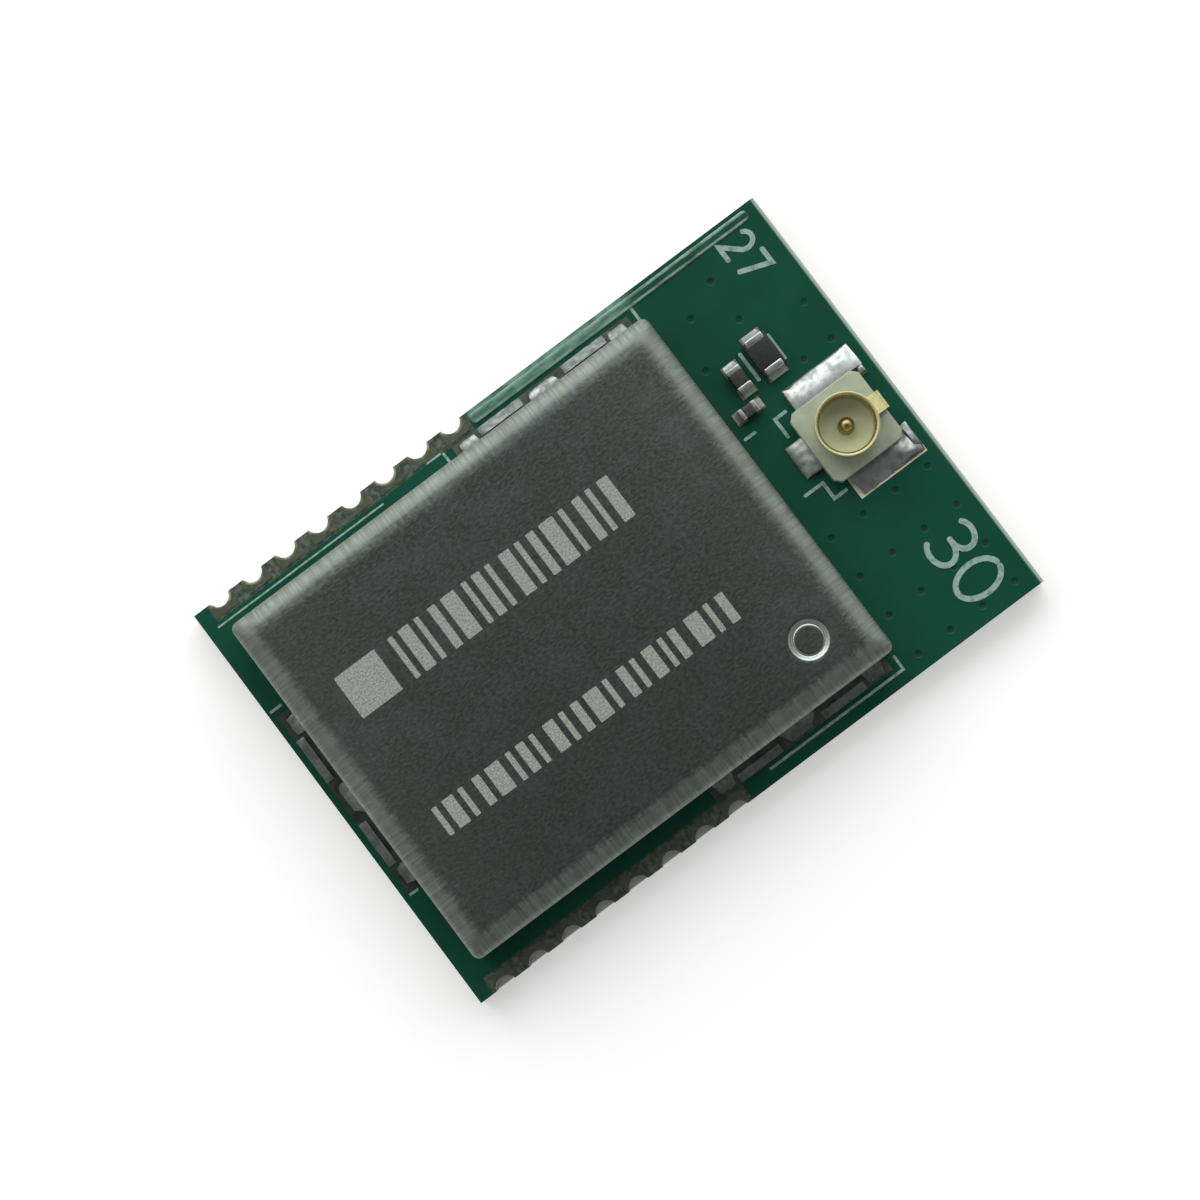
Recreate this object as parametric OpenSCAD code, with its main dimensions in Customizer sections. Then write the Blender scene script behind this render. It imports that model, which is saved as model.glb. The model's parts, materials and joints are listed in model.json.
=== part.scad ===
// Castellated radio module: a circuit board with plated half holes along its long
// edges, a folded shield can soldered over the radio circuit, and a miniature coaxial
// receptacle with three chips on the bare end. Millimetres. The origin is the middle
// of the board's underside, +X runs towards the receptacle, +Y towards the rear
// contacts and +Z up.

/* [Circuit board] */
// Thickness of the board
board_t = 1.0; // [0.6:0.05:1.6]
// Length of the bare end beyond the shield can
bare_end = 4.95; // [4.7:0.05:8]
// Board left beyond the shield's land at the other end
end_margin = 0.2; // [0.1:0.05:2]
// Height of a land above the solder mask
land_proud = 0.02; // [0.01:0.005:0.05]
// Depth of a land below the solder mask
land_sink = 0.04; // [0.03:0.005:0.1]
// Width of the mask-covered copper strip along the rear edge
strip_w = 0.3; // [0.15:0.01:0.4]
// Height of the copper strip under its mask
strip_h = 0.035; // [0.02:0.005:0.08]
// Distance of the strip's middle from the rear edge
strip_inset = 0.3; // [0.25:0.01:0.6]
// Distance of the strip's round end from the board's end
strip_end_gap = 0.6; // [0.3:0.05:3]

/* [Vias] */
// Radius of a covered via's dimple
via_r = 0.13; // [0.05:0.01:0.2]
// Depth of a covered via's dimple
via_depth = 0.035; // [0.01:0.005:0.08]
// Columns of ground vias on the bare end
via_columns = 4; // [1:1:4]
// Rows of ground vias on the bare end
via_rows = 4; // [1:1:4]
// Spacing of the via columns
via_pitch_x = 1.23; // [0.8:0.01:1.3]
// Spacing of the via rows
via_pitch_y = 1.475; // [0.8:0.005:1.55]
// First via column's distance from the shield can
via_first_x = 0.55; // [0.3:0.05:0.8]
// First via row's distance in front of the board's middle
via_first_y = 2.45; // [2.3:0.05:2.6]

/* [Edge contacts] */
// Number of contacts along each long edge
contact_count = 8; // [2:1:9]
// Spacing of the contacts
contact_pitch = 1.27; // [1.1:0.01:1.4]
// First contact's distance from the board's end
contact_first = 0.95; // [0.6:0.05:2]
// Radius of a contact's plated half hole
contact_hole_r = 0.36; // [0.2:0.01:0.42]
// Distance of the half hole's centre outside the board's edge
contact_hole_out = 0.08; // [0:0.01:0.15]
// Thickness of the plating in a half hole
plating_t = 0.06; // [0.05:0.005:0.08]
// Rim of land on each side of a half hole
contact_rim = 0.03; // [0.02:0.01:0.06]
// Depth of a contact's upper land from the edge
contact_depth = 0.5; // [0.4:0.02:0.8]
// Depth of a contact's lower land from the edge
contact_under_depth = 0.8; // [0.5:0.05:1.5]

/* [Shield can] */
// Length of the can
can_l = 15.75; // [13:0.05:30]
// Width of the can
can_w = 12.6; // [10.4:0.05:24]
// Height of the can's top above the board
can_h = 2.0; // [1.5:0.05:4]
// Thickness of the can's sheet
can_t = 0.2; // [0.1:0.01:0.3]
// Outer radius of the bend round the can's top
can_bend_r = 0.45; // [0.35:0.01:0.8]
// Outer radius of the can's upright corners
can_corner_r = 0.25; // [0.2:0.01:0.4]
// Gap under the can's wall where it is not soldered
can_lift = 0.12; // [0.05:0.01:0.3]
// Length of a window in the foot of the can's wall
window_l = 1.65; // [0.8:0.05:2]
// Height of a window
window_h = 0.4; // [0.2:0.05:0.8]
// Distance of a window's middle from the middle of its land
window_offset = 1.6; // [1.3:0.05:1.9]
// Length of the foot at each end of a soldered run
end_foot_l = 0.8; // [0.5:0.05:1]
// Distance of the rear and front runs' ends from the can's corner
run_inset = 0.5; // [0.4:0.05:1.5]
// Middle diameter of the ring coined into the can's top
ring_d = 1.08; // [0.6:0.02:2]
// Width of the coined ring's groove
ring_groove_w = 0.26; // [0.1:0.01:0.3]
// Depth of the coined ring's groove
ring_groove_d = 0.07; // [0.02:0.01:0.08]
// Ring's distance from the can's wall beside the receptacle
ring_inset_x = 1.95; // [1.2:0.05:4]
// Ring's distance from the can's front wall
ring_inset_y = 1.76; // [1.2:0.02:4]

/* [Shield lands and solder] */
// Reach of the rear and front lands outside the can's wall
side_land_reach = 0.5; // [0.35:0.01:0.8]
// Reach of the end land outside the can's wall
end_land_reach = 0.6; // [0.4:0.01:1]
// Reach of the lands inside the can's wall
inner_land_reach = 0.25; // [0.1:0.01:0.4]
// Length of land beyond the last foot
land_over = 0.15; // [0.05:0.01:0.3]
// Gap between a shield land and the edge contacts
land_gap = 0.1; // [0.08:0.01:0.5]
// Bare rim of a land round its solder
solder_edge = 0.04; // [0.03:0.01:0.12]
// Thickness of a solder fillet at its thin edges
solder_toe = 0.04; // [0.02:0.01:0.08]
// Slope of a shield fillet's ends, in plan
fillet_taper = 0.2; // [0.05:0.01:0.24]
// Radius of the solder bar in front of a window
bar_r = 0.14; // [0.1:0.01:0.18]
// Depth to which the bar's round section is sunk in the land's face
bar_sink = 0.04; // [0.02:0.005:0.06]

/* [Coaxial receptacle] */
// Distance of the receptacle's axis from the board's end
receptacle_inset = 2.0; // [1.8:0.05:2.3]
// Width of the plastic housing
housing_w = 2.6; // [2.4:0.05:2.8]
// Height of the plastic housing
housing_h = 0.5; // [0.4:0.02:0.6]
// Corner cut of the housing
housing_cut = 0.2; // [0.05:0.01:0.3]
// Height of the plastic floor inside the barrel
floor_h = 0.42; // [0.3:0.02:0.6]
// Radius of the barrel's rim, over which the plug snaps
rim_r = 1.0; // [0.97:0.01:1.05]
// Height of the rim's straight wall
rim_h = 0.24; // [0.15:0.01:0.35]
// Depth of the snap groove under the rim
snap_depth = 0.06; // [0.03:0.01:0.08]
// Height of the receptacle above its lands
barrel_h = 1.23; // [1:0.01:1.5]
// Inner radius of the barrel
barrel_inner_r = 0.84; // [0.75:0.01:0.88]
// Flare of the barrel's wall from the snap groove to its foot
barrel_draft = 0.02; // [0.01:0.005:0.05]
// Rounding cut of the rim's edges
rim_cut = 0.04; // [0.02:0.005:0.05]
// Sheet thickness of the shell's legs and tab
shell_t = 0.13; // [0.08:0.01:0.15]
// Width of each ground leg
leg_w = 1.6; // [1:0.05:1.7]
// Reach of each ground leg outside the housing
leg_reach = 0.32; // [0.1:0.02:0.5]
// Width of the tab folded over the housing's end
tab_w = 0.63; // [0.3:0.01:1]
// Radius of the centre pin
pin_r = 0.25; // [0.15:0.01:0.3]
// Height of the centre pin
pin_h = 1.0; // [0.6:0.02:1.1]
// Width of the centre pin's tail
tail_w = 0.5; // [0.3:0.02:0.6]
// Reach of the tail outside the housing
tail_reach = 0.42; // [0.2:0.02:0.6]
// Plastic left round the tail where it passes the barrel
tail_clear = 0.14; // [0.08:0.01:0.2]
// Reach of a ground land outside the housing's side
ground_land_reach = 0.76; // [0.6:0.02:1]
// Length of ground land under the housing's side
ground_land_under = 0.33; // [0.1:0.01:0.4]
// Ground land's end towards the shield can, from the receptacle's axis
ground_land_back = 0.92; // [0.9:0.01:1.2]
// Ground land's reach beyond the housing's end
ground_land_front = 0.28; // [0.1:0.01:0.4]
// Reach of the signal land outside the housing
signal_land_reach = 0.6; // [0.5:0.02:0.8]
// Width of the signal land
signal_land_w = 1.16; // [0.7:0.02:1.3]
// Height of the solder against the housing
joint_h = 0.28; // [0.2:0.01:0.4]

/* [Chips] */
// Thickness of a chip's end caps
cap_t = 0.05; // [0.03:0.005:0.06]
// Length of land beyond a chip's end
chip_land_out = 0.2; // [0.1:0.01:0.3]
// Slope of a chip fillet's ends, in plan
chip_taper = 0.06; // [0.02:0.01:0.15]
// Extra width of a chip's land
chip_land_extra = 0.06; // [0:0.01:0.1]
// Length of the link chip
link_l = 1.25; // [1.1:0.05:1.6]
// Width of the link chip
link_w = 0.82; // [0.6:0.02:1]
// Height of the link chip
link_h = 0.45; // [0.3:0.01:0.6]
// Length of the link chip's end caps
link_cap_l = 0.22; // [0.15:0.01:0.4]
// Width of the link chip's end caps
link_cap_w = 0.64; // [0.4:0.02:0.8]
// Length of the shunt chip
shunt_l = 0.8; // [0.7:0.02:1.1]
// Width of the shunt chip
shunt_w = 0.5; // [0.4:0.02:0.6]
// Height of the shunt chip
shunt_h = 0.35; // [0.25:0.01:0.5]
// Length of the shunt chip's end caps
shunt_cap_l = 0.18; // [0.12:0.01:0.3]
// Length of the series chip
series_l = 0.64; // [0.56:0.01:0.8]
// Width of the series chip
series_w = 0.38; // [0.3:0.01:0.45]
// Height of the series chip
series_h = 0.3; // [0.2:0.01:0.4]
// Length of the series chip's end caps
series_cap_l = 0.16; // [0.1:0.01:0.2]
// Link chip's distance from the shield can
link_x = 2.3; // [2:0.05:3]
// Series chip's distance from the shield can
series_x = 0.88; // [0.7:0.02:1.1]
// Series chip's distance behind the board's middle
series_y = 2.19; // [2.1:0.01:2.5]
// Gap between the link chip's land and the ground land
link_gap = 0.41; // [0.1:0.01:1]
// Gap between the link and shunt chips
shunt_gap = 0.41; // [0.3:0.01:0.5]
// Gap between the series chip and the shunt chip's land
series_gap = 0.16; // [0.05:0.01:0.5]

/* [Radio circuit under the can] */
// Width of the transceiver chip
transceiver_w = 6.0; // [4:0.5:7]
// Height of the transceiver chip
transceiver_h = 0.9; // [0.7:0.05:1]
// Contacts along each side of the transceiver
transceiver_leads = 7; // [4:1:9]
// Spacing of the transceiver's contacts
lead_pitch = 0.65; // [0.4:0.05:0.7]
// Width of a transceiver contact
lead_w = 0.3; // [0.15:0.01:0.35]
// Length of a transceiver contact
lead_l = 0.55; // [0.3:0.05:0.7]
// Thickness of the transceiver's lead frame
frame_t = 0.2; // [0.1:0.02:0.3]
// Width of the transceiver's thermal land
thermal_w = 4.0; // [2:0.1:4.4]
// Transceiver's place along the can, from the can's middle
transceiver_x = -1.45; // [-2:0.05:-1]
// Transceiver's place across the can, from the can's middle
transceiver_y = 1.0; // [0.5:0.05:1.2]
// Length of the crystal
crystal_l = 2.5; // [2:0.1:3.2]
// Width of the crystal
crystal_w = 2.0; // [1.6:0.1:2.2]
// Height of the crystal's ceramic base
crystal_base_h = 0.4; // [0.3:0.05:0.6]
// Height of the crystal's metal lid
crystal_lid_h = 0.15; // [0.08:0.01:0.3]
// Rim of the base round the lid
crystal_rim = 0.15; // [0.05:0.01:0.3]
// Length of the antenna switch's body
switch_l = 2.0; // [1.6:0.1:2.2]
// Width of the antenna switch's body
switch_w = 1.25; // [1:0.05:1.4]
// Height of the antenna switch
switch_h = 0.95; // [0.7:0.05:1.1]
// Overall width across the antenna switch's leads
switch_span = 2.1; // [1.8:0.05:2.4]
// Spacing of the antenna switch's leads
switch_pitch = 0.65; // [0.5:0.05:0.7]
// Width of an antenna switch lead
switch_lead_w = 0.22; // [0.15:0.01:0.3]
// Thickness of an antenna switch lead
switch_lead_t = 0.13; // [0.1:0.01:0.16]
// Gap between neighbouring pieces under the can
inner_gap = 0.3; // [0.15:0.01:0.4]
// Length of a filter or supply chip
small_l = 1.0; // [0.8:0.05:1.2]
// Width of a filter or supply chip
small_w = 0.5; // [0.4:0.02:0.6]
// Height of a filter or supply chip
small_h = 0.5; // [0.3:0.02:0.8]
// Length of a filter or supply chip's end caps
small_cap_l = 0.2; // [0.12:0.01:0.3]

/* [Hidden] */
$fn = 48;
// Overlap of cutting tools past the faces they cut
cut_over = 0.5;

// Board, from the can, its lands and the contacts
can_setback = end_land_reach + end_margin;
board_l = can_setback + can_l + bare_end;
board_w = can_w + 2 * (side_land_reach + land_gap + contact_depth);
land_t = land_sink + land_proud;
seat_z = board_t + land_proud;
edge_y = board_w / 2;

// Can, its corners and its three soldered runs
can_x = can_setback + can_l / 2 - board_l / 2;
can_right = can_x + can_l / 2;
can_top = board_t + can_h;
can_inner_corner_r = max(can_corner_r - can_t, can_t / 5);
mid_foot_l = 2 * window_offset - window_l;
foot_run = 2 * window_offset + window_l + 2 * end_foot_l;
run_x = can_l / 2 - run_inset - foot_run / 2;
shield_land_l = foot_run + 2 * land_over;
SIDES = ["rear", "front", "left"];
LEFT = 2;
fillet_leg = side_land_reach - solder_edge;
ring_groove_r = (pow(ring_groove_w / 2, 2) + pow(ring_groove_d, 2)) / (2 * ring_groove_d);

// Edge contacts
contact_w = 2 * (contact_hole_r + plating_t + contact_rim);
last_contact_x = contact_first + (contact_count - 1) * contact_pitch - board_l / 2;
strip_start = last_contact_x + contact_pitch / 2 + strip_w / 2;

// Vias: a regular grid in front of the receptacle, and those scattered behind it,
// as distances from the shield can and from the board's middle
via_sphere_r = (via_r * via_r + via_depth * via_depth) / (2 * via_depth);
GRID_VIAS = [
    for (i = [0 : via_columns - 1], j = [0 : via_rows - 1])
        [via_first_x + i * via_pitch_x, -via_first_y - j * via_pitch_y]
];
REAR_VIAS = [[2.35, 6.1], [1.17, 5.53], [2.35, 4.63], [0.57, 3.97], [4.27, 3.87], [3.2, 2.45], [4.25, 2.45]];

// Receptacle
receptacle_x = board_l / 2 - receptacle_inset;
housing_half = housing_w / 2;
barrel_r = rim_r - snap_depth;
ground_far = housing_half + ground_land_reach;

// Chips on the bare end
link_y = ground_far + link_gap + chip_land_out + link_l / 2;
shunt_x = link_x - link_w / 2 - shunt_gap - shunt_w / 2;
shunt_y = series_y + series_w / 2 + series_gap + chip_land_out + shunt_l / 2;
CHIPS = ["link", "shunt", "series"];
CHIP_SIZES = [
    [link_l, link_w, link_h, link_cap_l, link_cap_w],
    [shunt_l, shunt_w, shunt_h, shunt_cap_l, shunt_w],
    [series_l, series_w, series_h, series_cap_l, series_w]
];
CHIP_PLACES = [
    [can_right + link_x, link_y, 90],
    [can_right + shunt_x, shunt_y, 90],
    [can_right + series_x, series_y, 0]
];

// Pieces under the can, set out from the transceiver's sides
small_size = [small_l, small_w, small_h, small_cap_l, small_w];
chip_step = small_w + inner_gap;
supply_x = transceiver_x - transceiver_w / 2 - inner_gap - small_w / 2;
filter_x = transceiver_x + transceiver_w / 2 + inner_gap + small_l / 2;
switch_x = filter_x + small_l / 2 + inner_gap + switch_span / 2;
crystal_x = transceiver_x - transceiver_w / 2 + crystal_l / 2;
crystal_y = transceiver_y - transceiver_w / 2 - inner_gap - crystal_w / 2;
load_x = crystal_x + crystal_l / 2 + inner_gap + small_l / 2;
load_y = crystal_y + crystal_w / 2 - small_w / 2;
supply_step = small_l + inner_gap;
switch_side = switch_l / 2 + inner_gap + small_w / 2;
SMALL_CHIPS = [
    "filter_inductor_1", "filter_inductor_2", "filter_inductor_3",
    "filter_capacitor_1", "filter_capacitor_2", "filter_capacitor_3", "filter_capacitor_4",
    "supply_capacitor_1", "supply_capacitor_2", "load_capacitor_1", "load_capacitor_2"
];
SMALL_PLACES = [
    [filter_x, transceiver_y + 2 * chip_step, 0],
    [filter_x, transceiver_y, 0],
    [filter_x, transceiver_y - 2 * chip_step, 0],
    [filter_x, transceiver_y + chip_step, 0],
    [filter_x, transceiver_y - chip_step, 0],
    [switch_x, transceiver_y + switch_side, 0],
    [switch_x, transceiver_y - switch_side, 0],
    [supply_x, transceiver_y + supply_step / 2, 90],
    [supply_x, transceiver_y - supply_step / 2, 90],
    [load_x, load_y, 0],
    [load_x, load_y - chip_step, 0]
];

ROWS = ["rear", "front"];

MASK_GREEN = "#1d4b3a";
GOLD = "#b9a06a";
SOLDER = "#c9cdcb";
CAN_METAL = "#8b908c";
CREAM = "#d9d3b4";
CHIP_BLACK = "#26282a";
CERAMIC = "#8a7f6e";

// A box from one corner to the opposite one
module span(low, high) {
    translate(low) cube(high - low);
}

// Circuit board

// One contact's copper with its half hole unopened, on the board's edge, +Y outwards
module contact_blank() {
    translate([0, contact_hole_out, -cut_over])
        cylinder(r = contact_hole_r + plating_t, h = board_t + 2 * cut_over);
    span([-contact_w / 2, -contact_depth, board_t - land_sink], [contact_w / 2, cut_over, seat_z]);
    span([-contact_w / 2, -contact_under_depth, -cut_over], [contact_w / 2, cut_over, land_t]);
}

// Moves an edge contact's copper to its place on the rear or front edge
module at_contact(row, i) {
    x = contact_first + i * contact_pitch - board_l / 2;
    mirror([0, row == "front" ? 1 : 0, 0])
        translate([x, edge_y, 0])
            children();
}

module edge_contact(row, i) {
    color(GOLD)
        at_contact(row, i)
            difference() {
                intersection() {
                    contact_blank();
                    span([-contact_w, -contact_pitch, 0], [contact_w, 0, seat_z]);
                }
                translate([0, contact_hole_out, -cut_over])
                    cylinder(r = contact_hole_r, h = board_t + 2 * cut_over);
            }
}

// The covered copper strip, with round ends, along the rear edge
module copper_strip() {
    strip_end = board_l / 2 - strip_end_gap;
    translate([0, edge_y - strip_inset, board_t - land_sink])
        linear_extrude(land_sink + strip_h) {
            translate([strip_start, -strip_w / 2]) square([strip_end - strip_start, strip_w]);
            translate([strip_start, 0]) circle(strip_w / 2);
            translate([strip_end, 0]) circle(strip_w / 2);
        }
}

module via_dimples() {
    for (via = concat(GRID_VIAS, REAR_VIAS))
        translate([can_right + via[0], via[1], board_t - via_depth + via_sphere_r])
            sphere(via_sphere_r);
}

module circuit_board() {
    color(MASK_GREEN)
        difference() {
            union() {
                span([-board_l / 2, -edge_y, 0], [board_l / 2, edge_y, board_t]);
                copper_strip();
            }
            for (row = ROWS, i = [0 : contact_count - 1])
                at_contact(row, i) contact_blank();
            for (side = [0 : len(SIDES) - 1])
                shield_land_blank(side);
            for (flip = [0, 1])
                ground_land_blank(flip);
            signal_land_blank();
            for (chip = [0 : len(CHIPS) - 1])
                chip_land_pair(chip);
            via_dimples();
        }
}

// Shield can

// Puts a piece on one soldered run: X along the wall, Y outwards from its outer face
module at_run(side) {
    translate([can_x, 0, 0]) {
        if (side == LEFT)
            translate([-can_l / 2, 0, 0]) rotate([0, 0, 90]) children();
        else
            mirror([0, side, 0]) translate([run_x, can_w / 2, 0]) children();
    }
}

// The can's outline from one end: two walls that bend over into the top
module arch(wide, r, low, high) {
    translate([-wide / 2, low]) square([wide, high - r - low]);
    translate([r - wide / 2, low]) square([wide - 2 * r, high - low]);
    for (way = [-1, 1])
        translate([way * (wide / 2 - r), high - r]) circle(r);
}

// The can's plan, with its round corners
module plan(long, wide, r) {
    square([long, wide - 2 * r], center = true);
    square([long - 2 * r, wide], center = true);
    for (x = [-1, 1], y = [-1, 1])
        translate([x * (long / 2 - r), y * (wide / 2 - r)]) circle(r);
}

// A block whose walls bend over into its top on all four sides, mitred at the corners
module folded_block(long, wide, corner_r, bend_r, low, high) {
    intersection() {
        translate([-long / 2, 0, 0])
            rotate([90, 0, 90]) linear_extrude(long) arch(wide, bend_r, low, high);
        translate([0, wide / 2, 0])
            rotate([90, 0, 0]) linear_extrude(wide) arch(long, bend_r, low, high);
        translate([0, 0, low]) linear_extrude(high - low) plan(long, wide, corner_r);
    }
}

// The folded sheet: a flat top and four walls
module can_sheet() {
    difference() {
        folded_block(can_l, can_w, can_corner_r, can_bend_r, seat_z, can_top);
        folded_block(
            can_l - 2 * can_t, can_w - 2 * can_t, can_inner_corner_r, can_bend_r - can_t,
            seat_z - cut_over, can_top - can_t
        );
    }
}

// What is cut off the wall's lower edge so that only the soldered runs reach the lands
module wall_clearance() {
    difference() {
        translate([can_x, 0, 0])
            span([-can_l, -can_w, seat_z - cut_over], [can_l, can_w, board_t + can_lift]);
        for (side = [0 : len(SIDES) - 1])
            at_run(side) span([-foot_run / 2, -2 * can_t, 0], [foot_run / 2, can_t, can_top]);
    }
}

module windows() {
    low = [-window_l / 2, -2 * can_t, seat_z - cut_over];
    high = [window_l / 2, can_t, seat_z + window_h];
    for (side = [0 : len(SIDES) - 1], way = [-1, 1])
        at_run(side) translate([way * window_offset, 0, 0]) span(low, high);
}

module coined_ring() {
    translate([can_right - ring_inset_x, ring_inset_y - can_w / 2, can_top])
        rotate_extrude()
            translate([ring_d / 2, ring_groove_r - ring_groove_d]) circle(ring_groove_r);
}

module shield_can() {
    color(CAN_METAL)
        difference() {
            translate([can_x, 0, 0]) can_sheet();
            wall_clearance();
            windows();
            coined_ring();
        }
}

// Shield lands and solder

module shield_land_blank(side) {
    reach = side == LEFT ? end_land_reach : side_land_reach;
    half = shield_land_l / 2;
    at_run(side)
        span([-half, -can_t - inner_land_reach, board_t - land_sink], [half, reach, seat_z]);
}

module shield_land(side) {
    color(GOLD) shield_land_blank(side);
}

// A hollow fillet against a wall on Y = 0, with ends that slope in plan
module solder_fillet(length, leg, taper) {
    intersection() {
        rotate([90, 0, 90])
            translate([0, 0, -length / 2])
                linear_extrude(length)
                    difference() {
                        square(leg);
                        translate([leg, leg]) circle(leg - solder_toe);
                    }
        linear_extrude(leg)
            polygon([
                [-length / 2, 0], [length / 2, 0],
                [length / 2 - taper, leg], [taper - length / 2, leg]
            ]);
    }
}

// A low bar of solder with round ends, sunk by bar_sink below the land's face
module solder_bar(length) {
    half = length / 2 - bar_r;
    intersection() {
        translate([0, 0, -bar_sink])
            rotate([0, 90, 0])
                rotate_extrude() {
                    translate([0, -half]) square([bar_r, 2 * half]);
                    for (way = [-1, 1])
                        translate([0, way * half])
                            intersection() {
                                circle(bar_r);
                                translate([0, -bar_r]) square([bar_r, 2 * bar_r]);
                            }
                }
        span([-length, -bar_r, 0], [length, bar_r, bar_r]);
    }
}

module shield_solder(side) {
    reach = side == LEFT ? end_land_reach : side_land_reach;
    end_foot = window_offset + window_l / 2 + end_foot_l / 2;
    color(SOLDER)
        at_run(side) translate([0, 0, seat_z]) {
            solder_fillet(mid_foot_l - 2 * solder_edge, fillet_leg, fillet_taper);
            for (way = [-1, 1]) {
                translate([way * end_foot, 0, 0])
                    solder_fillet(end_foot_l - solder_edge, fillet_leg, fillet_taper);
                translate([way * window_offset, reach - solder_edge / 2 - bar_r, 0])
                    solder_bar(window_l - solder_edge);
            }
        }
}

// Coaxial receptacle

module at_receptacle() {
    translate([receptacle_x, 0, seat_z]) children();
}

module ground_land_blank(flip) {
    low = [-ground_land_back, housing_half - ground_land_under, -land_t];
    high = [housing_half + ground_land_front, ground_far, 0];
    at_receptacle() mirror([0, flip, 0]) span(low, high);
}

module signal_land_blank() {
    low = [-housing_half - signal_land_reach, -signal_land_w / 2, -land_t];
    high = [-housing_half + tail_clear, signal_land_w / 2, 0];
    at_receptacle() span(low, high);
}

module ground_land(flip) {
    color(GOLD) ground_land_blank(flip);
}

module signal_land() {
    color(GOLD) signal_land_blank();
}

// Half section of the turned barrel, with its rim and the snap groove under it
module barrel_section() {
    rim_low = barrel_h - rim_h - rim_cut;
    polygon([
        [barrel_inner_r, 0],
        [barrel_r + barrel_draft, 0],
        [barrel_r, rim_low - snap_depth],
        [rim_r, rim_low],
        [rim_r, barrel_h - rim_cut],
        [rim_r - rim_cut, barrel_h],
        [barrel_inner_r + rim_cut, barrel_h],
        [barrel_inner_r, barrel_h - rim_cut]
    ]);
}

// The tab's strip along the housing's top and down its end, with a round bend
module tab_strip() {
    rotate([90, 0, 0])
        translate([0, 0, -tab_w / 2])
            linear_extrude(tab_w) {
                translate([barrel_inner_r + snap_depth, housing_h])
                    square([housing_half - barrel_inner_r - snap_depth, shell_t]);
                translate([housing_half, 0]) square([shell_t, housing_h]);
                translate([housing_half, housing_h])
                    intersection() {
                        circle(shell_t);
                        square(shell_t);
                    }
            }
}

// The whole stamped shell, open at the back for the centre contact's tail
module shell_form() {
    leg_low = [-leg_w / 2, barrel_r - snap_depth / 2, 0];
    leg_high = [leg_w / 2, housing_half + leg_reach, shell_t];
    difference() {
        union() {
            rotate_extrude() barrel_section();
            for (way = [0, 1])
                mirror([0, way, 0]) span(leg_low, leg_high);
            tab_strip();
        }
        span(
            [-rim_r, -tail_w / 2 - tail_clear, -cut_over],
            [-barrel_inner_r / 2, tail_w / 2 + tail_clear, shell_t + tail_clear]
        );
    }
}

// The round-tipped centre pin with its tail running out towards the can
module contact_form() {
    rotate_extrude() {
        square([pin_r, pin_h - pin_r]);
        translate([0, pin_h - pin_r])
            intersection() {
                circle(pin_r);
                square(pin_r);
            }
    }
    span([-housing_half - tail_reach, -tail_w / 2, 0], [0, tail_w / 2, shell_t]);
}

module receptacle_shell() {
    color(GOLD) at_receptacle() shell_form();
}

module receptacle_contact() {
    color(GOLD) at_receptacle() contact_form();
}

module receptacle_housing() {
    half = housing_half;
    cut = housing_half - housing_cut;
    color(CREAM)
        at_receptacle()
            difference() {
                linear_extrude(housing_h)
                    polygon([
                        [half, cut], [cut, half], [-cut, half], [-half, cut],
                        [-half, -cut], [-cut, -half], [cut, -half], [half, -cut]
                    ]);
                translate([0, 0, floor_h]) cylinder(r = barrel_inner_r, h = housing_h);
                shell_form();
                contact_form();
            }
}

// Solder along a ground leg and round the housing's end
module ground_solder(flip) {
    low = housing_half;
    high = ground_far - solder_edge;
    mid = (low + high) / 2;
    back = ground_land_back - 2 * solder_edge;
    front = housing_half + ground_land_front - solder_edge;
    color(SOLDER)
        at_receptacle()
            mirror([0, flip, 0])
                difference() {
                    union() {
                        translate([-back, 0, 0])
                            rotate([90, 0, 90])
                                linear_extrude(back + front)
                                    polygon([
                                        [low, 0], [high, 0], [high, solder_toe],
                                        [mid, shell_t + solder_toe], [low, joint_h]
                                    ]);
                        translate([0, low, 0])
                            rotate([90, 0, 0])
                                linear_extrude(ground_land_under - solder_edge)
                                    polygon([[low, 0], [front, 0], [front, solder_toe], [low, joint_h]]);
                    }
                    shell_form();
                }
}

// Solder over the centre contact's tail
module signal_solder() {
    out = housing_half + signal_land_reach - solder_edge;
    wide = signal_land_w - 2 * solder_edge;
    color(SOLDER)
        at_receptacle()
            difference() {
                translate([0, wide / 2, 0])
                    rotate([90, 0, 0])
                        linear_extrude(wide)
                            polygon([
                                [-out, 0], [-housing_half, 0], [-housing_half, joint_h],
                                [-housing_half - tail_reach, shell_t + solder_toe], [-out, solder_toe]
                            ]);
                contact_form();
            }
}

// Chips on the bare end

module at_chip(chip) {
    place = CHIP_PLACES[chip];
    translate([place[0], place[1], seat_z]) rotate([0, 0, place[2]]) children();
}

// The block inside a chip's end caps, long side on X; caps narrower than it leave its sides bare
module chip_block(size) {
    side_inset = size[4] < size[1] ? 0 : cap_t;
    half = [size[0], size[1]] / 2 - [cap_t, side_inset];
    span([-half[0], -half[1], cap_t], [half[0], half[1], size[2] - cap_t]);
}

module chip_cap_pair(size) {
    for (way = [0, 1])
        mirror([way, 0, 0])
            span([size[0] / 2 - size[3], -size[4] / 2, 0], [size[0] / 2, size[4] / 2, size[2]]);
}

module chip_body(chip) {
    color(CHIP_BLACK) at_chip(chip) chip_block(CHIP_SIZES[chip]);
}

module chip_caps(chip) {
    size = CHIP_SIZES[chip];
    color(SOLDER)
        at_chip(chip)
            difference() {
                chip_cap_pair(size);
                chip_block(size);
            }
}

module chip_land_pair(chip) {
    size = CHIP_SIZES[chip];
    wide = size[4] + chip_land_extra;
    at_chip(chip)
        for (way = [0, 1])
            mirror([way, 0, 0])
                span(
                    [size[0] / 2 - size[3], -wide / 2, -land_t],
                    [size[0] / 2 + chip_land_out, wide / 2, 0]
                );
}

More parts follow.
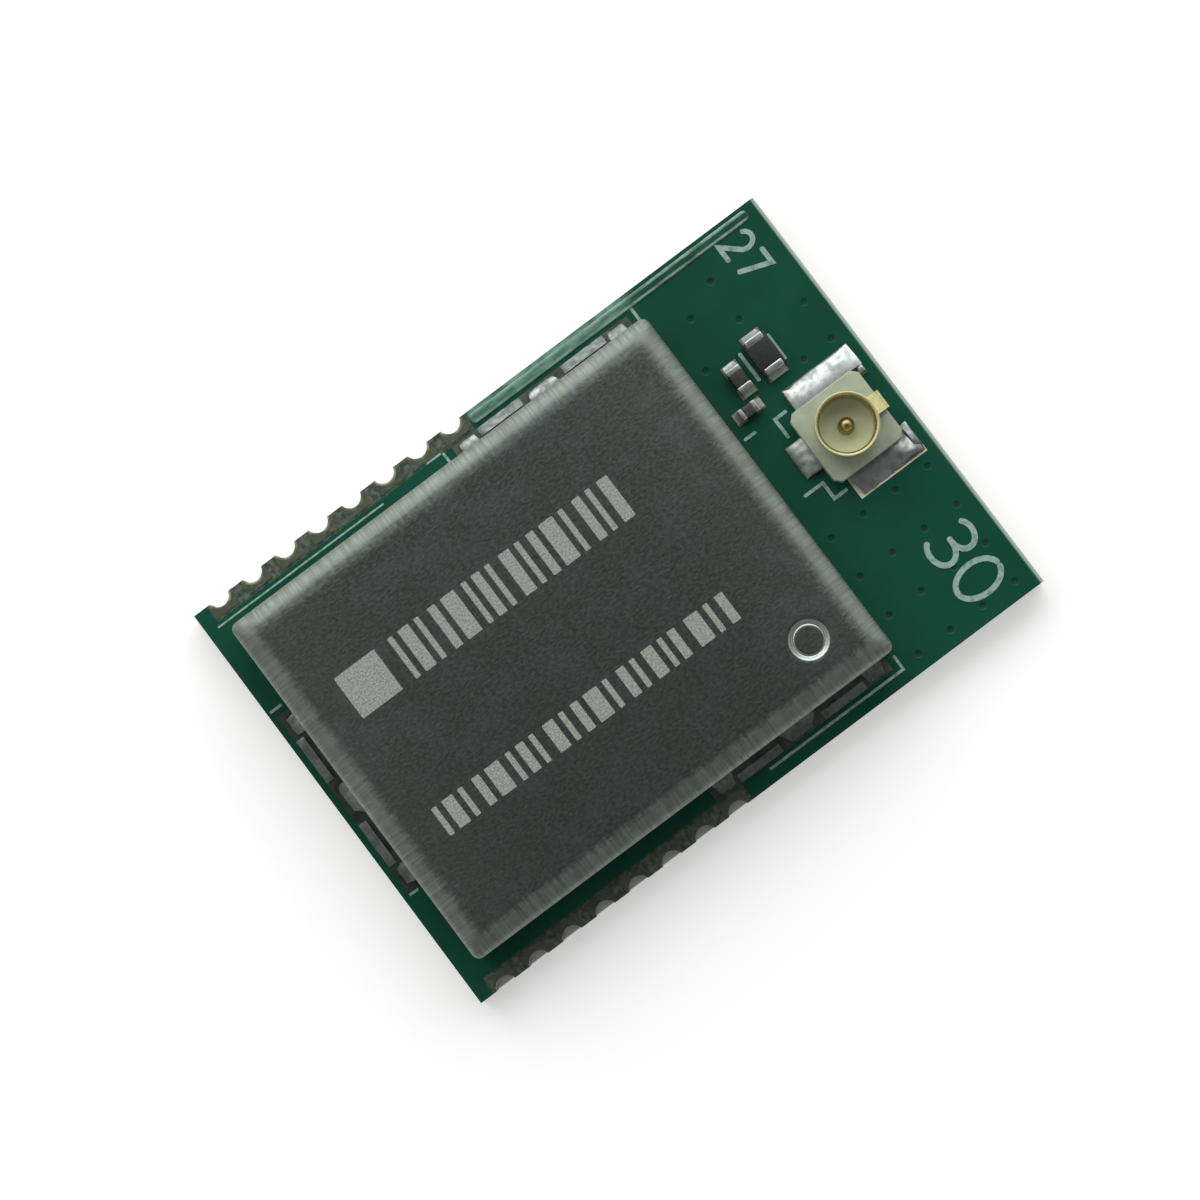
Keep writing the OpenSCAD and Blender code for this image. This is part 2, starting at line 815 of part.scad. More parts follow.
module chip_lands() {
    color(GOLD)
        for (chip = [0 : len(CHIPS) - 1])
            chip_land_pair(chip);
}

module chip_solder() {
    color(SOLDER)
        for (chip = [0 : len(CHIPS) - 1], way = [0, 1])
            at_chip(chip)
                mirror([way, 0, 0])
                    translate([CHIP_SIZES[chip][0] / 2, 0, 0])
                        rotate([0, 0, -90])
                            solder_fillet(CHIP_SIZES[chip][4], chip_land_out - solder_toe / 2, chip_taper);
}

// Radio circuit under the can

module under_can(x, y, turn) {
    translate([can_x + x, y, board_t]) rotate([0, 0, turn]) children();
}

// Contacts round the transceiver's edge and the land under its middle
module lead_frame() {
    half = transceiver_w / 2;
    for (turn = [0 : 90 : 270], i = [0 : transceiver_leads - 1])
        rotate([0, 0, turn])
            translate([(i - (transceiver_leads - 1) / 2) * lead_pitch, half - lead_l, 0])
                span([-lead_w / 2, 0, 0], [lead_w / 2, lead_l, frame_t]);
    span([-thermal_w / 2, -thermal_w / 2, 0], [thermal_w / 2, thermal_w / 2, frame_t]);
}

module transceiver_body() {
    half = transceiver_w / 2;
    color(CHIP_BLACK)
        under_can(transceiver_x, transceiver_y, 0)
            difference() {
                span([-half, -half, 0], [half, half, transceiver_h]);
                lead_frame();
            }
}

module transceiver_lead_frame() {
    color(SOLDER) under_can(transceiver_x, transceiver_y, 0) lead_frame();
}

module crystal_base() {
    half = [crystal_l, crystal_w] / 2;
    color(CERAMIC)
        under_can(crystal_x, crystal_y, 0)
            span([-half[0], -half[1], 0], [half[0], half[1], crystal_base_h]);
}

module crystal_lid() {
    half = [crystal_l, crystal_w] / 2 - [crystal_rim, crystal_rim];
    color(CAN_METAL)
        under_can(crystal_x, crystal_y, 0)
            translate([0, 0, crystal_base_h])
                span([-half[0], -half[1], 0], [half[0], half[1], crystal_lid_h]);
}

// One gull-wing lead from the switch's side down to the board, X outwards
module gull_lead() {
    out = switch_span / 2;
    side = switch_w / 2;
    mid = (side + out) / 2;
    rise = switch_h / 2;
    t = switch_lead_t;
    rotate([90, 0, 0])
        translate([0, 0, -switch_lead_w / 2])
            linear_extrude(switch_lead_w)
                polygon([
                    [side, rise], [mid - t / 2, rise], [mid - t / 2, 0], [out, 0],
                    [out, t], [mid + t / 2, t], [mid + t / 2, rise + t], [side, rise + t]
                ]);
}

module switch_body() {
    stand = switch_lead_t / 2;
    color(CHIP_BLACK)
        under_can(switch_x, transceiver_y, 0)
            span([-switch_w / 2, -switch_l / 2, stand], [switch_w / 2, switch_l / 2, switch_h]);
}

module switch_leads() {
    color(SOLDER)
        under_can(switch_x, transceiver_y, 0)
            for (turn = [0, 180], i = [-1 : 1])
                rotate([0, 0, turn]) translate([0, i * switch_pitch, 0]) gull_lead();
}

module small_chip(i) {
    place = SMALL_PLACES[i];
    color(CERAMIC)
        under_can(place[0], place[1], place[2]) {
            chip_block(small_size);
            chip_cap_pair(small_size);
        }
}

circuit_board();
for (row = ROWS, i = [1 : contact_count])
    edge_contact(row, i - 1);
for (side = [0 : len(SIDES) - 1])
    shield_land(side);
shield_can();
for (side = [0 : len(SIDES) - 1])
    shield_solder(side);
ground_land(0);  // ground_land_rear
ground_land(1);  // ground_land_front
signal_land();
receptacle_housing();
receptacle_shell();
receptacle_contact();
ground_solder(0);  // ground_solder_rear
ground_solder(1);  // ground_solder_front
signal_solder();
for (chip = [0 : len(CHIPS) - 1]) {
    chip_body(chip);
    chip_caps(chip);
}
chip_lands();
chip_solder();
transceiver_body();
transceiver_lead_frame();  // transceiver_leads
crystal_base();
crystal_lid();
switch_body();
switch_leads();
for (i = [0 : len(SMALL_CHIPS) - 1])
    small_chip(i);
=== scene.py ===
import json
import math

import bmesh
import bpy
from mathutils import Matrix, Vector, noise


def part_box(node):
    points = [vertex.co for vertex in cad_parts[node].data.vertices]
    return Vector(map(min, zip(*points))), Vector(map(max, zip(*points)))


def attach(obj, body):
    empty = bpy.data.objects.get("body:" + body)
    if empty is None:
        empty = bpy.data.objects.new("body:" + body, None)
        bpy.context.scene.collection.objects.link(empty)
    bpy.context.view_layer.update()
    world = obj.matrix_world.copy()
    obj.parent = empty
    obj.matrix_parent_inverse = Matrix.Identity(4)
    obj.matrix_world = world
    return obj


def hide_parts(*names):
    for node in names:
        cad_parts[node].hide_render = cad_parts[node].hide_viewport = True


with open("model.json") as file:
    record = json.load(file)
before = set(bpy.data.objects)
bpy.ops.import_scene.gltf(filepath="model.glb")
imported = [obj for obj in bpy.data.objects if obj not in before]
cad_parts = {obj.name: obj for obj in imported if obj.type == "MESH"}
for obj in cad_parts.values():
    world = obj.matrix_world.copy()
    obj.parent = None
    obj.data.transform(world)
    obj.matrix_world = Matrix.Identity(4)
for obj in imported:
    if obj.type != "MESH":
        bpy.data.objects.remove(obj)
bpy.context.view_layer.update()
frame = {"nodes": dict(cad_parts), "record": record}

# Circuit board
# A sheet of glass-fibre laminate, routed from a panel, with copper under dark green solder mask.
# The mask stops short of the half holes, where the bare laminate shows, and dips over each via.
MM = 0.001
BARE_STRIP_Y = 6.84
BARE_STRIP_START = -10.32
BARE_STRIP_END = -0.42
RIM_WIDTH = 0.14
RIM_FADE = 0.09
VIA_DEPTH = 0.012
BARE_RAGGED = 0.12
BARE_FADE = 0.12
BARE_END_FADE = 0.1
THIN_MASK_Y = (7.0, 7.1)
THIN_MASK_START = (-0.4, -0.2)
THIN_MASK_END = (6.2, 5.2)
TOP_BAND = (0.2, 0.1)
LEVEL_FACE = (0.4, 0.6)
MASK_ROUGHNESS = (0.34, 0.8)


def paint(red, green, blue):
    """A colour in screen values, 0 to 255, as the linear colour that a shader takes."""
    shown = [channel / 255 for channel in (red, green, blue)]
    linear = [((c + 0.055) / 1.055) ** 2.4 if c > 0.04045 else c / 12.92 for c in shown]
    return (*linear, 1.0)


def box_mm(node):
    """A CAD node's lowest and highest corners, in millimetres."""
    return [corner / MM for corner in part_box(node)]


def wire(tree, kind, inputs, output=0, **settings):
    """Adds a shader node, sets or links its inputs, and gives one of its outputs."""
    node = tree.nodes.new(kind)
    for name, value in settings.items():
        setattr(node, name, value)
    for socket, value in inputs.items():
        if isinstance(value, bpy.types.NodeSocket):
            tree.links.new(value, node.inputs[socket])
        else:
            node.inputs[socket].default_value = value
    return node.outputs[output]


def calc(tree, operation, first, second=0.0):
    """A number worked out from two others."""
    return wire(tree, "ShaderNodeMath", {0: first, 1: second}, operation=operation)


def blend(tree, share, first, second):
    """The first colour where share is 0 and the second where it is 1."""
    return wire(tree, "ShaderNodeMix", {0: share, 6: first, 7: second}, output=2, data_type="RGBA")


def rise(tree, value, start, end, low=0.0, high=1.0):
    """Goes smoothly from low to high while the value goes from start to end."""
    spans = {"Value": value, "From Min": start, "From Max": end, "To Min": low, "To Max": high}
    return wire(tree, "ShaderNodeMapRange", spans, interpolation_type="SMOOTHSTEP")


def start_finish(name, **constants):
    """A new material, its nodes, its shader with constants set, and object places in millimetres."""
    material = bpy.data.materials.new(name)
    material.use_nodes = True
    tree = material.node_tree
    shader = tree.nodes["Principled BSDF"]
    for socket, value in constants.items():
        shader.inputs[socket.replace("_", " ")].default_value = value
    place = wire(tree, "ShaderNodeTexCoord", {}, output="Object")
    place_mm = wire(tree, "ShaderNodeVectorMath", {0: place, "Scale": 1 / MM}, operation="SCALE")
    return material, tree, shader, place_mm


def feed(tree, shader, **values):
    """Links values that change over the surface to the shader's sockets."""
    for socket, value in values.items():
        tree.links.new(value, shader.inputs[socket.replace("_", " ")])


def relief(tree, shader, height, depth):
    """Gives the surface a fine relief of the given depth in millimetres."""
    bump = wire(tree, "ShaderNodeBump", {"Height": height, "Distance": depth * MM}, output="Normal")
    feed(tree, shader, Normal=bump)


surface_grain = bpy.data.node_groups.new("surface_grain", "ShaderNodeTree")
surface_grain.interface.new_socket("Place", in_out="INPUT", socket_type="NodeSocketVector")
surface_grain.interface.new_socket("Stretch", in_out="INPUT", socket_type="NodeSocketVector")
surface_grain.interface.new_socket("Size", in_out="INPUT", socket_type="NodeSocketFloat")
surface_grain.interface.new_socket("Grain", in_out="OUTPUT", socket_type="NodeSocketFloat")
grain_in = surface_grain.nodes.new("NodeGroupInput")
grain_out = surface_grain.nodes.new("NodeGroupOutput")
grain_place = wire(
    surface_grain,
    "ShaderNodeVectorMath",
    {0: grain_in.outputs["Place"], 1: grain_in.outputs["Stretch"]},
    operation="DIVIDE",
)
grain_noise = wire(
    surface_grain,
    "ShaderNodeTexNoise",
    {
        "Vector": grain_place,
        "Scale": calc(surface_grain, "DIVIDE", 1.0, grain_in.outputs["Size"]),
        "Detail": 3.0,
        "Roughness": 0.55,
    },
)
surface_grain.links.new(grain_noise, grain_out.inputs["Grain"])


def grain(tree, place, size, stretch=(1.0, 1.0, 1.0)):
    """Soft noise from 0 to 1 whose marks are about size millimetres wide, drawn out by stretch."""
    inputs = {"Place": place, "Stretch": stretch, "Size": size}
    return wire(tree, "ShaderNodeGroup", inputs, output="Grain", node_tree=surface_grain)


board_low, board_high = box_mm("circuit_board")
board_top = box_mm("transceiver_body")[0].z
mask, tree, shader, place = start_finish("solder_mask", Specular_IOR_Level=0.2)
split = wire(tree, "ShaderNodeSeparateXYZ", {0: place}).node
normal = wire(tree, "ShaderNodeNewGeometry", {}, output="Normal")
facing = calc(tree, "ABSOLUTE", wire(tree, "ShaderNodeSeparateXYZ", {0: normal}, output=2))
broad = rise(tree, grain(tree, place, 2.5), 0.3, 0.7)
chalky = rise(tree, grain(tree, place, 0.2), 0.35, 0.65)
streaks = grain(tree, place, 0.1, stretch=(4.0, 4.0, 0.4))
across = calc(tree, "ABSOLUTE", split.outputs["Y"])
ragged = calc(tree, "ADD", across, calc(tree, "MULTIPLY", grain(tree, place, 0.3), BARE_RAGGED))
bare = calc(
    tree,
    "MULTIPLY",
    rise(tree, ragged, BARE_STRIP_Y, BARE_STRIP_Y + BARE_FADE),
    rise(tree, split.outputs["X"], BARE_STRIP_END + BARE_END_FADE, BARE_STRIP_END),
)
bare_start = rise(tree, split.outputs["X"], BARE_STRIP_START, BARE_STRIP_START + BARE_FADE)
bare = calc(tree, "MULTIPLY", bare, bare_start)
rim_start = board_high.x - RIM_WIDTH
dip = calc(tree, "SUBTRACT", board_top, split.outputs["Z"])
upper = rise(tree, dip, *TOP_BAND)
rim = calc(tree, "MULTIPLY", upper, rise(tree, split.outputs["X"], rim_start, rim_start + RIM_FADE))
thin_mask = calc(
    tree,
    "MULTIPLY",
    rise(tree, split.outputs["X"], *THIN_MASK_START),
    rise(tree, split.outputs["X"], *THIN_MASK_END),
)
thin_mask = calc(tree, "MULTIPLY", thin_mask, rise(tree, split.outputs["Y"], *THIN_MASK_Y))
thin_mask = calc(tree, "MULTIPLY", thin_mask, upper)
blotches = rise(tree, grain(tree, place, 0.28, stretch=(2.5, 1.0, 1.0)), 0.3, 0.65, 0.3, 1.0)
via = calc(tree, "MULTIPLY", rise(tree, dip, VIA_DEPTH / 3, VIA_DEPTH), upper)
green = blend(tree, broad, paint(16, 72, 55), paint(21, 78, 61))
green = blend(tree, calc(tree, "MULTIPLY", thin_mask, blotches), green, paint(124, 156, 144))
green = blend(tree, via, green, paint(11, 58, 44))
green = blend(tree, rim, green, paint(168, 188, 172))
fibre = blend(tree, chalky, paint(58, 70, 61), paint(99, 109, 96))
green = blend(tree, bare, green, fibre)
sawn = blend(tree, rise(tree, streaks, 0.35, 0.65), paint(96, 94, 66), paint(140, 138, 104))
colour = blend(tree, rise(tree, facing, *LEVEL_FACE), sawn, green)
matt = calc(tree, "MAXIMUM", bare, rise(tree, facing, *reversed(LEVEL_FACE)))
matt = calc(tree, "MAXIMUM", matt, via)
roughness = rise(tree, matt, 0.0, 1.0, *MASK_ROUGHNESS)
feed(tree, shader, Base_Color=colour, Roughness=roughness)
relief(tree, shader, grain(tree, place, 0.25), 0.004)
frame["nodes"]["circuit_board"].data.materials[0] = mask


def add_block(bm, low, high, edge=0.0, steps=3):
    """Adds a box between two corners, with its edges rounded, and gives its vertices."""
    low, high = Vector(low), Vector(high)
    verts = bmesh.ops.create_cube(bm, size=1.0)["verts"]
    bmesh.ops.scale(bm, vec=high - low, verts=verts)
    bmesh.ops.translate(bm, vec=(high + low) / 2, verts=verts)
    if not edge:
        return verts
    edges = list({side for vert in verts for side in vert.link_edges})
    made = bmesh.ops.bevel(
        bm, geom=edges, offset=edge, segments=steps, profile=0.5, affect="EDGES", material=-1
    )
    return made["verts"]


def round_uprights(bm, verts, radius, steps):
    """Rounds the upright edges of a box."""
    edges = {side for vert in verts for side in vert.link_edges}
    uprights = [side for side in edges if (side.verts[0].co - side.verts[1].co).xy.length < 1e-6]
    bmesh.ops.bevel(
        bm, geom=uprights, offset=radius, segments=steps, profile=0.5, affect="EDGES", material=-1
    )


def fit_piece(name, bm, material, slot, *nodes, crease=40.0, closed=True):
    """Makes a mesh in millimetres a piece of the module, in place of the CAD nodes named."""
    if closed:
        bmesh.ops.recalc_face_normals(bm, faces=bm.faces)
    bmesh.ops.scale(bm, vec=Vector((MM, MM, MM)), verts=bm.verts)
    mesh = bpy.data.meshes.new(name)
    bm.to_mesh(mesh)
    bm.free()
    mesh.materials.append(material)
    mesh.shade_smooth()
    mesh.set_sharp_from_angle(angle=math.radians(crease))
    piece = bpy.data.objects.new(name, mesh)
    bpy.context.scene.collection.objects.link(piece)
    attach(piece, "root")
    if nodes:
        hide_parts(*nodes)
    return piece


# Masked copper strip
# A strip of copper along the rear edge of the board, etched with the other copper and covered by the
# mask, which rounds over it and is thin along the strip's two edges. The pale colour along those edges
# is partly the thin mask and partly a painted highlight.
STRIP_LOW = (-0.31, 6.925)
STRIP_HIGH = (10.33, 7.275)
STRIP_RISE = 0.05
STRIP_SINK = 0.01
STRIP_END_R = 0.165
STRIP_EDGE = 0.042
STRIP_CREST_HIGHLIGHT = (0.06, 0.1)

strip_mask, tree, shader, place = start_finish("strip_mask", Roughness=0.3)
split = wire(tree, "ShaderNodeSeparateXYZ", {0: place}).node
strip_middle = (STRIP_LOW[1] + STRIP_HIGH[1]) / 2
sides = calc(tree, "ABSOLUTE", calc(tree, "SUBTRACT", split.outputs["Y"], strip_middle))
patches = rise(tree, grain(tree, place, 0.2, stretch=(3.0, 1.0, 1.0)), 0.35, 0.65)
# Pale band along the strip's two edges: partly the thin mask, partly a painted highlight.
crest_highlight = calc(tree, "MULTIPLY", rise(tree, sides, *STRIP_CREST_HIGHLIGHT), rise(tree, patches, 0.0, 1.0, 0.4, 1.0))
green = blend(tree, patches, paint(14, 64, 48), paint(24, 80, 62))
blotched = blend(tree, patches, paint(72, 116, 100), paint(112, 148, 134))
green = blend(tree, rise(tree, split.outputs["X"], *THIN_MASK_END), green, blotched)
feed(tree, shader, Base_Color=blend(tree, crest_highlight, green, paint(136, 166, 155)))
relief(tree, shader, grain(tree, place, 0.2), 0.006)
bm = bmesh.new()
strip = add_block(bm, (*STRIP_LOW, board_top - STRIP_SINK), (*STRIP_HIGH, board_top + STRIP_RISE))
round_uprights(bm, strip, STRIP_END_R, 8)
crown = [side for side in bm.edges if min(vert.co.z for vert in side.verts) > board_top]
bmesh.ops.bevel(bm, geom=crown, offset=STRIP_EDGE, segments=5, profile=0.5, affect="EDGES", material=-1)
fit_piece("masked_strip", bm, strip_mask, "solder_mask")

# Edge contacts and lands
# Copper plated with a thin gold flash: sixteen half holes along the two long edges, and flat lands
# for the can, the receptacle and the chips. The half holes have dulled to olive, with a painted
# highlight at the mouths of the rear row; the can's lands are grey with the tin that ran over them,
# the left one painted darker as shade, and one ground land is still clean.
HOLE_START = -9.80
HOLE_PITCH = 1.27
HOLE_Y = 7.48
HOLE_R = 0.36
MOUTH_HIGHLIGHT_W = 0.1


def plated_finish(name, bright, dull, scuffed, satin=0.36):
    """Thin plating, dulled in patches, scuffed in spots, with a painted highlight at the rear holes' mouths.
    """
    material, tree, shader, place = start_finish(name, Metallic=1.0)
    stain = rise(tree, grain(tree, place, 0.45), 0.35, 0.65)
    scuffs = grain(tree, place, 0.09)
    tone = blend(tree, stain, bright, dull)
    split = wire(tree, "ShaderNodeSeparateXYZ", {0: place}).node
    ends = {1: HOLE_START + HOLE_PITCH / 2, 2: HOLE_START - HOLE_PITCH / 2}
    along = wire(tree, "ShaderNodeMath", {0: split.outputs["X"], **ends}, operation="WRAP")
    along = calc(tree, "SUBTRACT", along, HOLE_START)
    across = calc(tree, "SUBTRACT", split.outputs["Y"], HOLE_Y)
    squares = calc(tree, "ADD", calc(tree, "MULTIPLY", along, along), calc(tree, "MULTIPLY", across, across))
    # Painted highlight along the mouths of the rear half holes.
    mouth_highlight = rise(tree, calc(tree, "SQRT", squares), HOLE_R + MOUTH_HIGHLIGHT_W, HOLE_R)
    mouth_highlight = calc(tree, "MULTIPLY", mouth_highlight, rise(tree, stain, 0.0, 1.0, 0.3, 1.0))
    mouth_highlight = calc(tree, "MULTIPLY", mouth_highlight, rise(tree, split.outputs["Z"], board_top - MOUTH_HIGHLIGHT_W, board_top))
    spots = rise(tree, scuffs, 0.55, 0.75, 0.0, 0.25)
    feed(
        tree,
        shader,
        Base_Color=blend(tree, calc(tree, "MAXIMUM", spots, mouth_highlight), tone, scuffed),
        Roughness=rise(tree, stain, 0.0, 1.0, satin, satin + 0.2),
    )
    relief(tree, shader, scuffs, 0.004)
    return material


dulled_gold = plated_finish("dulled_gold", paint(134, 141, 118), paint(84, 96, 80), paint(204, 200, 178))
tinned_copper = plated_finish(
    "tinned_copper", paint(106, 112, 106), paint(84, 90, 84), paint(126, 132, 125), satin=0.5
)
# A darker copy of the tinned copper for the can's left land: painted shade.
shaded_tinned_copper = plated_finish(
    "shaded_tinned_copper", paint(78, 88, 80), paint(60, 70, 63), paint(96, 104, 96), satin=0.5
)
pale_gold = plated_finish(
    "pale_gold", paint(236, 230, 206), paint(218, 212, 186), paint(240, 234, 212), satin=0.6
)
bright_gold = plated_finish("bright_gold", paint(168, 158, 120), paint(142, 134, 102), paint(186, 176, 138))
for part in frame["record"]["subparts"]:
    if part["material_slot"] != "contact_gold":
        continue
    plating = bright_gold
    if "contact" in part["node"]:
        plating = dulled_gold
    elif part["node"] == "ground_land_front":
        plating = pale_gold
    # The left land takes the darker copy: painted shade.
    elif part["node"] == "shield_land_left":
        plating = shaded_tinned_copper
    elif "shield" in part["node"]:
        plating = tinned_copper
    frame["nodes"][part["node"]].data.materials[0] = plating

# Printed ink
# Pale green-white ink, screened on the mask in thin lines with round ends: frames beside the can's
# feet, marks round the chips and the receptacle, and two plain numbers.
INK_RISE = 0.012
INK_LAYER = 0.0005
INK_END = 0.42
MITRE_LIMIT = 0.4
INK_LINES = [
    (0.10, [(5.70, 6.96), (5.70, 6.44)]),
    (0.09, [(-1.60, 6.46), (-1.60, 6.82)]),
    (0.07, [(-2.20, 6.85), (-1.66, 6.85)]),
    (0.06, [(-10.37, 6.67), (-4.00, 6.67)]),
    (0.09, [(0.60, -6.98), (5.70, -6.98), (5.70, -6.46)]),
    (0.09, [(-10.65, 3.60), (-10.20, 3.60)]),
    (0.09, [(-10.55, -3.45), (-10.20, -3.45)]),
    (0.12, [(7.52, 2.72), (7.52, 3.80)]),
    (0.11, [(8.56, 2.78), (8.56, 3.76)]),
    (0.10, [(6.02, 1.55), (6.48, 1.55)]),
    (0.11, [(7.62, 1.50), (7.17, 1.50), (7.17, 0.78)]),
    (0.11, [(6.45, -0.94), (7.17, -0.94), (7.17, -1.54), (7.66, -1.54)]),
]


def arc(centre, radii, start, end, steps=14):
    """Points along part of an ellipse, from one angle to another in degrees."""
    points = []
    for step in range(steps + 1):
        angle = math.radians(start + (end - start) * step / steps)
        points.append((centre[0] + radii[0] * math.cos(angle), centre[1] + radii[1] * math.sin(angle)))
    return points


DIGITS = {
    "0": [arc((0.5, 0.5), (0.5, 0.5), 90, 450, 28)],
    "2": [arc((0.5, 0.70), (0.46, 0.30), 165, -35) + [(0.02, 0.0), (1.0, 0.0)]],
    "3": [
        arc((0.46, 0.76), (0.44, 0.24), 150, -90) + [(0.28, 0.52)],
        arc((0.46, 0.26), (0.50, 0.26), 90, -150),
    ],
    "7": [[(0.0, 1.0), (1.0, 1.0), (0.35, 0.0)]],
}
NUMBERS = [
    ("2", (8.98, 6.80), 1.05, 0.58, 0.16),
    ("7", (8.98, 6.02), 1.05, 0.58, 0.16),
    ("3", (8.42, -4.28), 1.56, 1.04, 0.18),
    ("0", (8.42, -5.62), 1.56, 1.04, 0.18),
]


def add_stroke(bm, path, width):
    """Adds a flat line of ink along a path, mitred at its bends, and gives the vertices at its two ends."""
    points = [Vector(point) for point in path]
    steps = [(after - before).normalized() for before, after in zip(points, points[1:])]
    rail = []
    for index, point in enumerate(points):
        before = steps[max(index - 1, 0)]
        after = steps[min(index, len(steps) - 1)]
        lean = (before + after).normalized()
        side = Vector((-lean.y, lean.x)) * (width / 2 / max(lean.dot(after), MITRE_LIMIT))
        rail.append(((point + side).to_3d(), (point - side).to_3d()))
    left, right = [bm.verts.new(spot) for spot in rail[0]]
    edge = bm.edges.new((left, right))
    first = edge
    for last_spots, spots in zip(rail, rail[1:]):
        made = bmesh.ops.extrude_edge_only(bm, edges=[edge])["geom"]
        edge = next(item for item in made if isinstance(item, bmesh.types.BMEdge))
        fresh = sorted(edge.verts, key=lambda vert: (vert.co - last_spots[0]).length)
        for vert, spot in zip(fresh, spots):
            vert.co = spot
    return [*first.verts, *edge.verts]


def print_lines(bm, lines):
    """Prints flat lines of ink on the mask, each a hair thicker than the one that it may cross."""
    for layer, (width, path) in enumerate(lines):
        flat = bmesh.new()
        ends = add_stroke(flat, path, width)
        bmesh.ops.bevel(
            flat, geom=ends, offset=width * INK_END, segments=4, profile=0.5, affect="VERTICES", material=-1
        )
        made = bmesh.ops.extrude_face_region(flat, geom=list(flat.faces), use_keep_orig=True)["geom"]
        raised = [item for item in made if isinstance(item, bmesh.types.BMVert)]
        bmesh.ops.translate(flat, vec=(0, 0, INK_RISE + INK_LAYER * layer), verts=raised)
        bmesh.ops.translate(flat, vec=(0, 0, board_top), verts=flat.verts)
        mesh = bpy.data.meshes.new("stroke")
        flat.to_mesh(mesh)
        flat.free()
        bm.from_mesh(mesh)
        bpy.data.meshes.remove(mesh)


ink, tree, shader, place = start_finish("printed_ink", Roughness=0.6)
thin = rise(tree, grain(tree, place, 0.16), 0.42, 0.72)
feed(tree, shader, Base_Color=blend(tree, thin, paint(150, 178, 167), paint(104, 138, 124)))
relief(tree, shader, grain(tree, place, 0.05), 0.006)
bm = bmesh.new()
print_lines(bm, INK_LINES)
for digit, (start_x, start_y), tall, wide, width in NUMBERS:
    strokes = [
        (width, [(start_x + tall * up, start_y - wide * along) for along, up in path])
        for path in DIGITS[digit]
    ]
    print_lines(bm, strokes)
fit_piece("printed_ink", bm, ink, "solder_mask")

# Radio circuit under the can
# The transceiver, its crystal, the aerial switch and the matching parts: moulded or ceramic chips
# with tinned ends, soldered flat on the board and hidden by the can.
CHIP_TONES = {
    "chip_black": (paint(18, 24, 23), paint(34, 41, 40), 0.55),
    "chip_ceramic": (paint(40, 38, 35), paint(64, 59, 53), 0.5),
    "chip_grey": (paint(44, 50, 48), paint(70, 78, 74), 0.5),
}
FROST_ROUGHER = 0.16


def chip_finish(name, dark, light, roughness):
    """Moulded or fired chip material with a fine speckle."""
    material, tree, shader, place = start_finish(name, Roughness=roughness)
    speckle = rise(tree, grain(tree, place, 0.05), 0.4, 0.75)
    feed(tree, shader, Base_Color=blend(tree, speckle, dark, light))
    relief(tree, shader, grain(tree, place, 0.03), 0.003)
    return material


def tin_finish(name, dull, bright, roughness, metal=1.0):
    """Solder or tin, bright where it flowed and duller where it froze last."""
    material, tree, shader, place = start_finish(name, Metallic=metal)
    frost = rise(tree, grain(tree, place, 0.3), 0.35, 0.7)
    feed(
        tree,
        shader,
        Base_Color=blend(tree, frost, bright, dull),
        Roughness=rise(tree, frost, 0.0, 1.0, roughness, roughness + FROST_ROUGHER),
    )
    relief(tree, shader, grain(tree, place, 0.2), 0.002)
    return material


finishes = {slot: chip_finish(slot, *tones) for slot, tones in CHIP_TONES.items()}
finishes["tinned_caps"] = tin_finish("tinned_caps", paint(160, 166, 162), paint(206, 211, 208), 0.3)
for part in frame["record"]["subparts"]:
    if part["material_slot"] in finishes:
        frame["nodes"][part["node"]].data.materials[0] = finishes[part["material_slot"]]

# Shield can
# One box folded from thin plated sheet, closed round at its corners, with windows along three of its
# lower edges and feet between them that are soldered to the lands. A ring is coined into its top, and
# the bends are matt, with fine streaks across them where the sheet was drawn over the tool. The sheet
# is painted lighter towards both ends as a painted reflection, and paler in the ring as a painted
# highlight.
SHEET = 0.2
CORNER_R = 0.25
CORNER_STEPS = 6
CORNER_SPREAD = 0.3
BEND_R = 0.45
BEND_W = 0.6
BEND_STEPS = 12
EASE_STEP = 0.1
EASE_LOOPS = 3
SIDE_CUTS = 220
FOOT_LIFT = 0.1
WINDOW_RISE = 0.4
WINDOW_OFFSET = 1.6
WINDOW_L = 1.65
FOOT_RUN = 6.45
RING_CENTRE = Vector((3.85, -4.54, 0.0))
RING_R = 0.64
RING_W = 0.24
RING_DEPTH = 0.08
RING_LEAN = 1.5
RING_STEPS = 16
RING_TURN_STEPS = 64
RING_FIELD = 0.76
RING_MATT = 0.15
FOLD_MARK = 0.014
FOLD_WAVES = ((0.6, 3.0, 0.4), (3.1, 7.0, 0.2))
MATT_BEND = 0.26
STREAK_W = 0.075
STREAK_L = 16.0
STREAK_REACH = 0.4
STREAK_CORE = 0.8
CORNER_BLEND = 0.1
CLOUD_SHARE = 0.4
CLOUD_MATT = 0.03
END_SHEEN_SHARE = 0.4
SCUFF_SHARE = 0.9
SHEET_ROUGHNESS = (0.27, 0.33)
ROLLED_DEPTH = 0.0022
END_SHEEN_RUN = (3.5, 7.5)

can_low, can_high = box_mm("shield_can")
can_middle = (can_low + can_high) / 2
can_half = (can_high - can_low) / 2
rear_land = box_mm("shield_land_rear")
run_x = (rear_land[0].x + rear_land[1].x) / 2


def from_upright(tree, place, centre):
    """How far a place lies from the upright line through a centre."""
    level = wire(tree, "ShaderNodeVectorMath", {0: place, 1: (1.0, 1.0, 0.0)}, operation="MULTIPLY")
    ends = {0: level, 1: (centre.x, centre.y, 0.0)}
    return wire(tree, "ShaderNodeVectorMath", ends, output="Value", operation="DISTANCE")


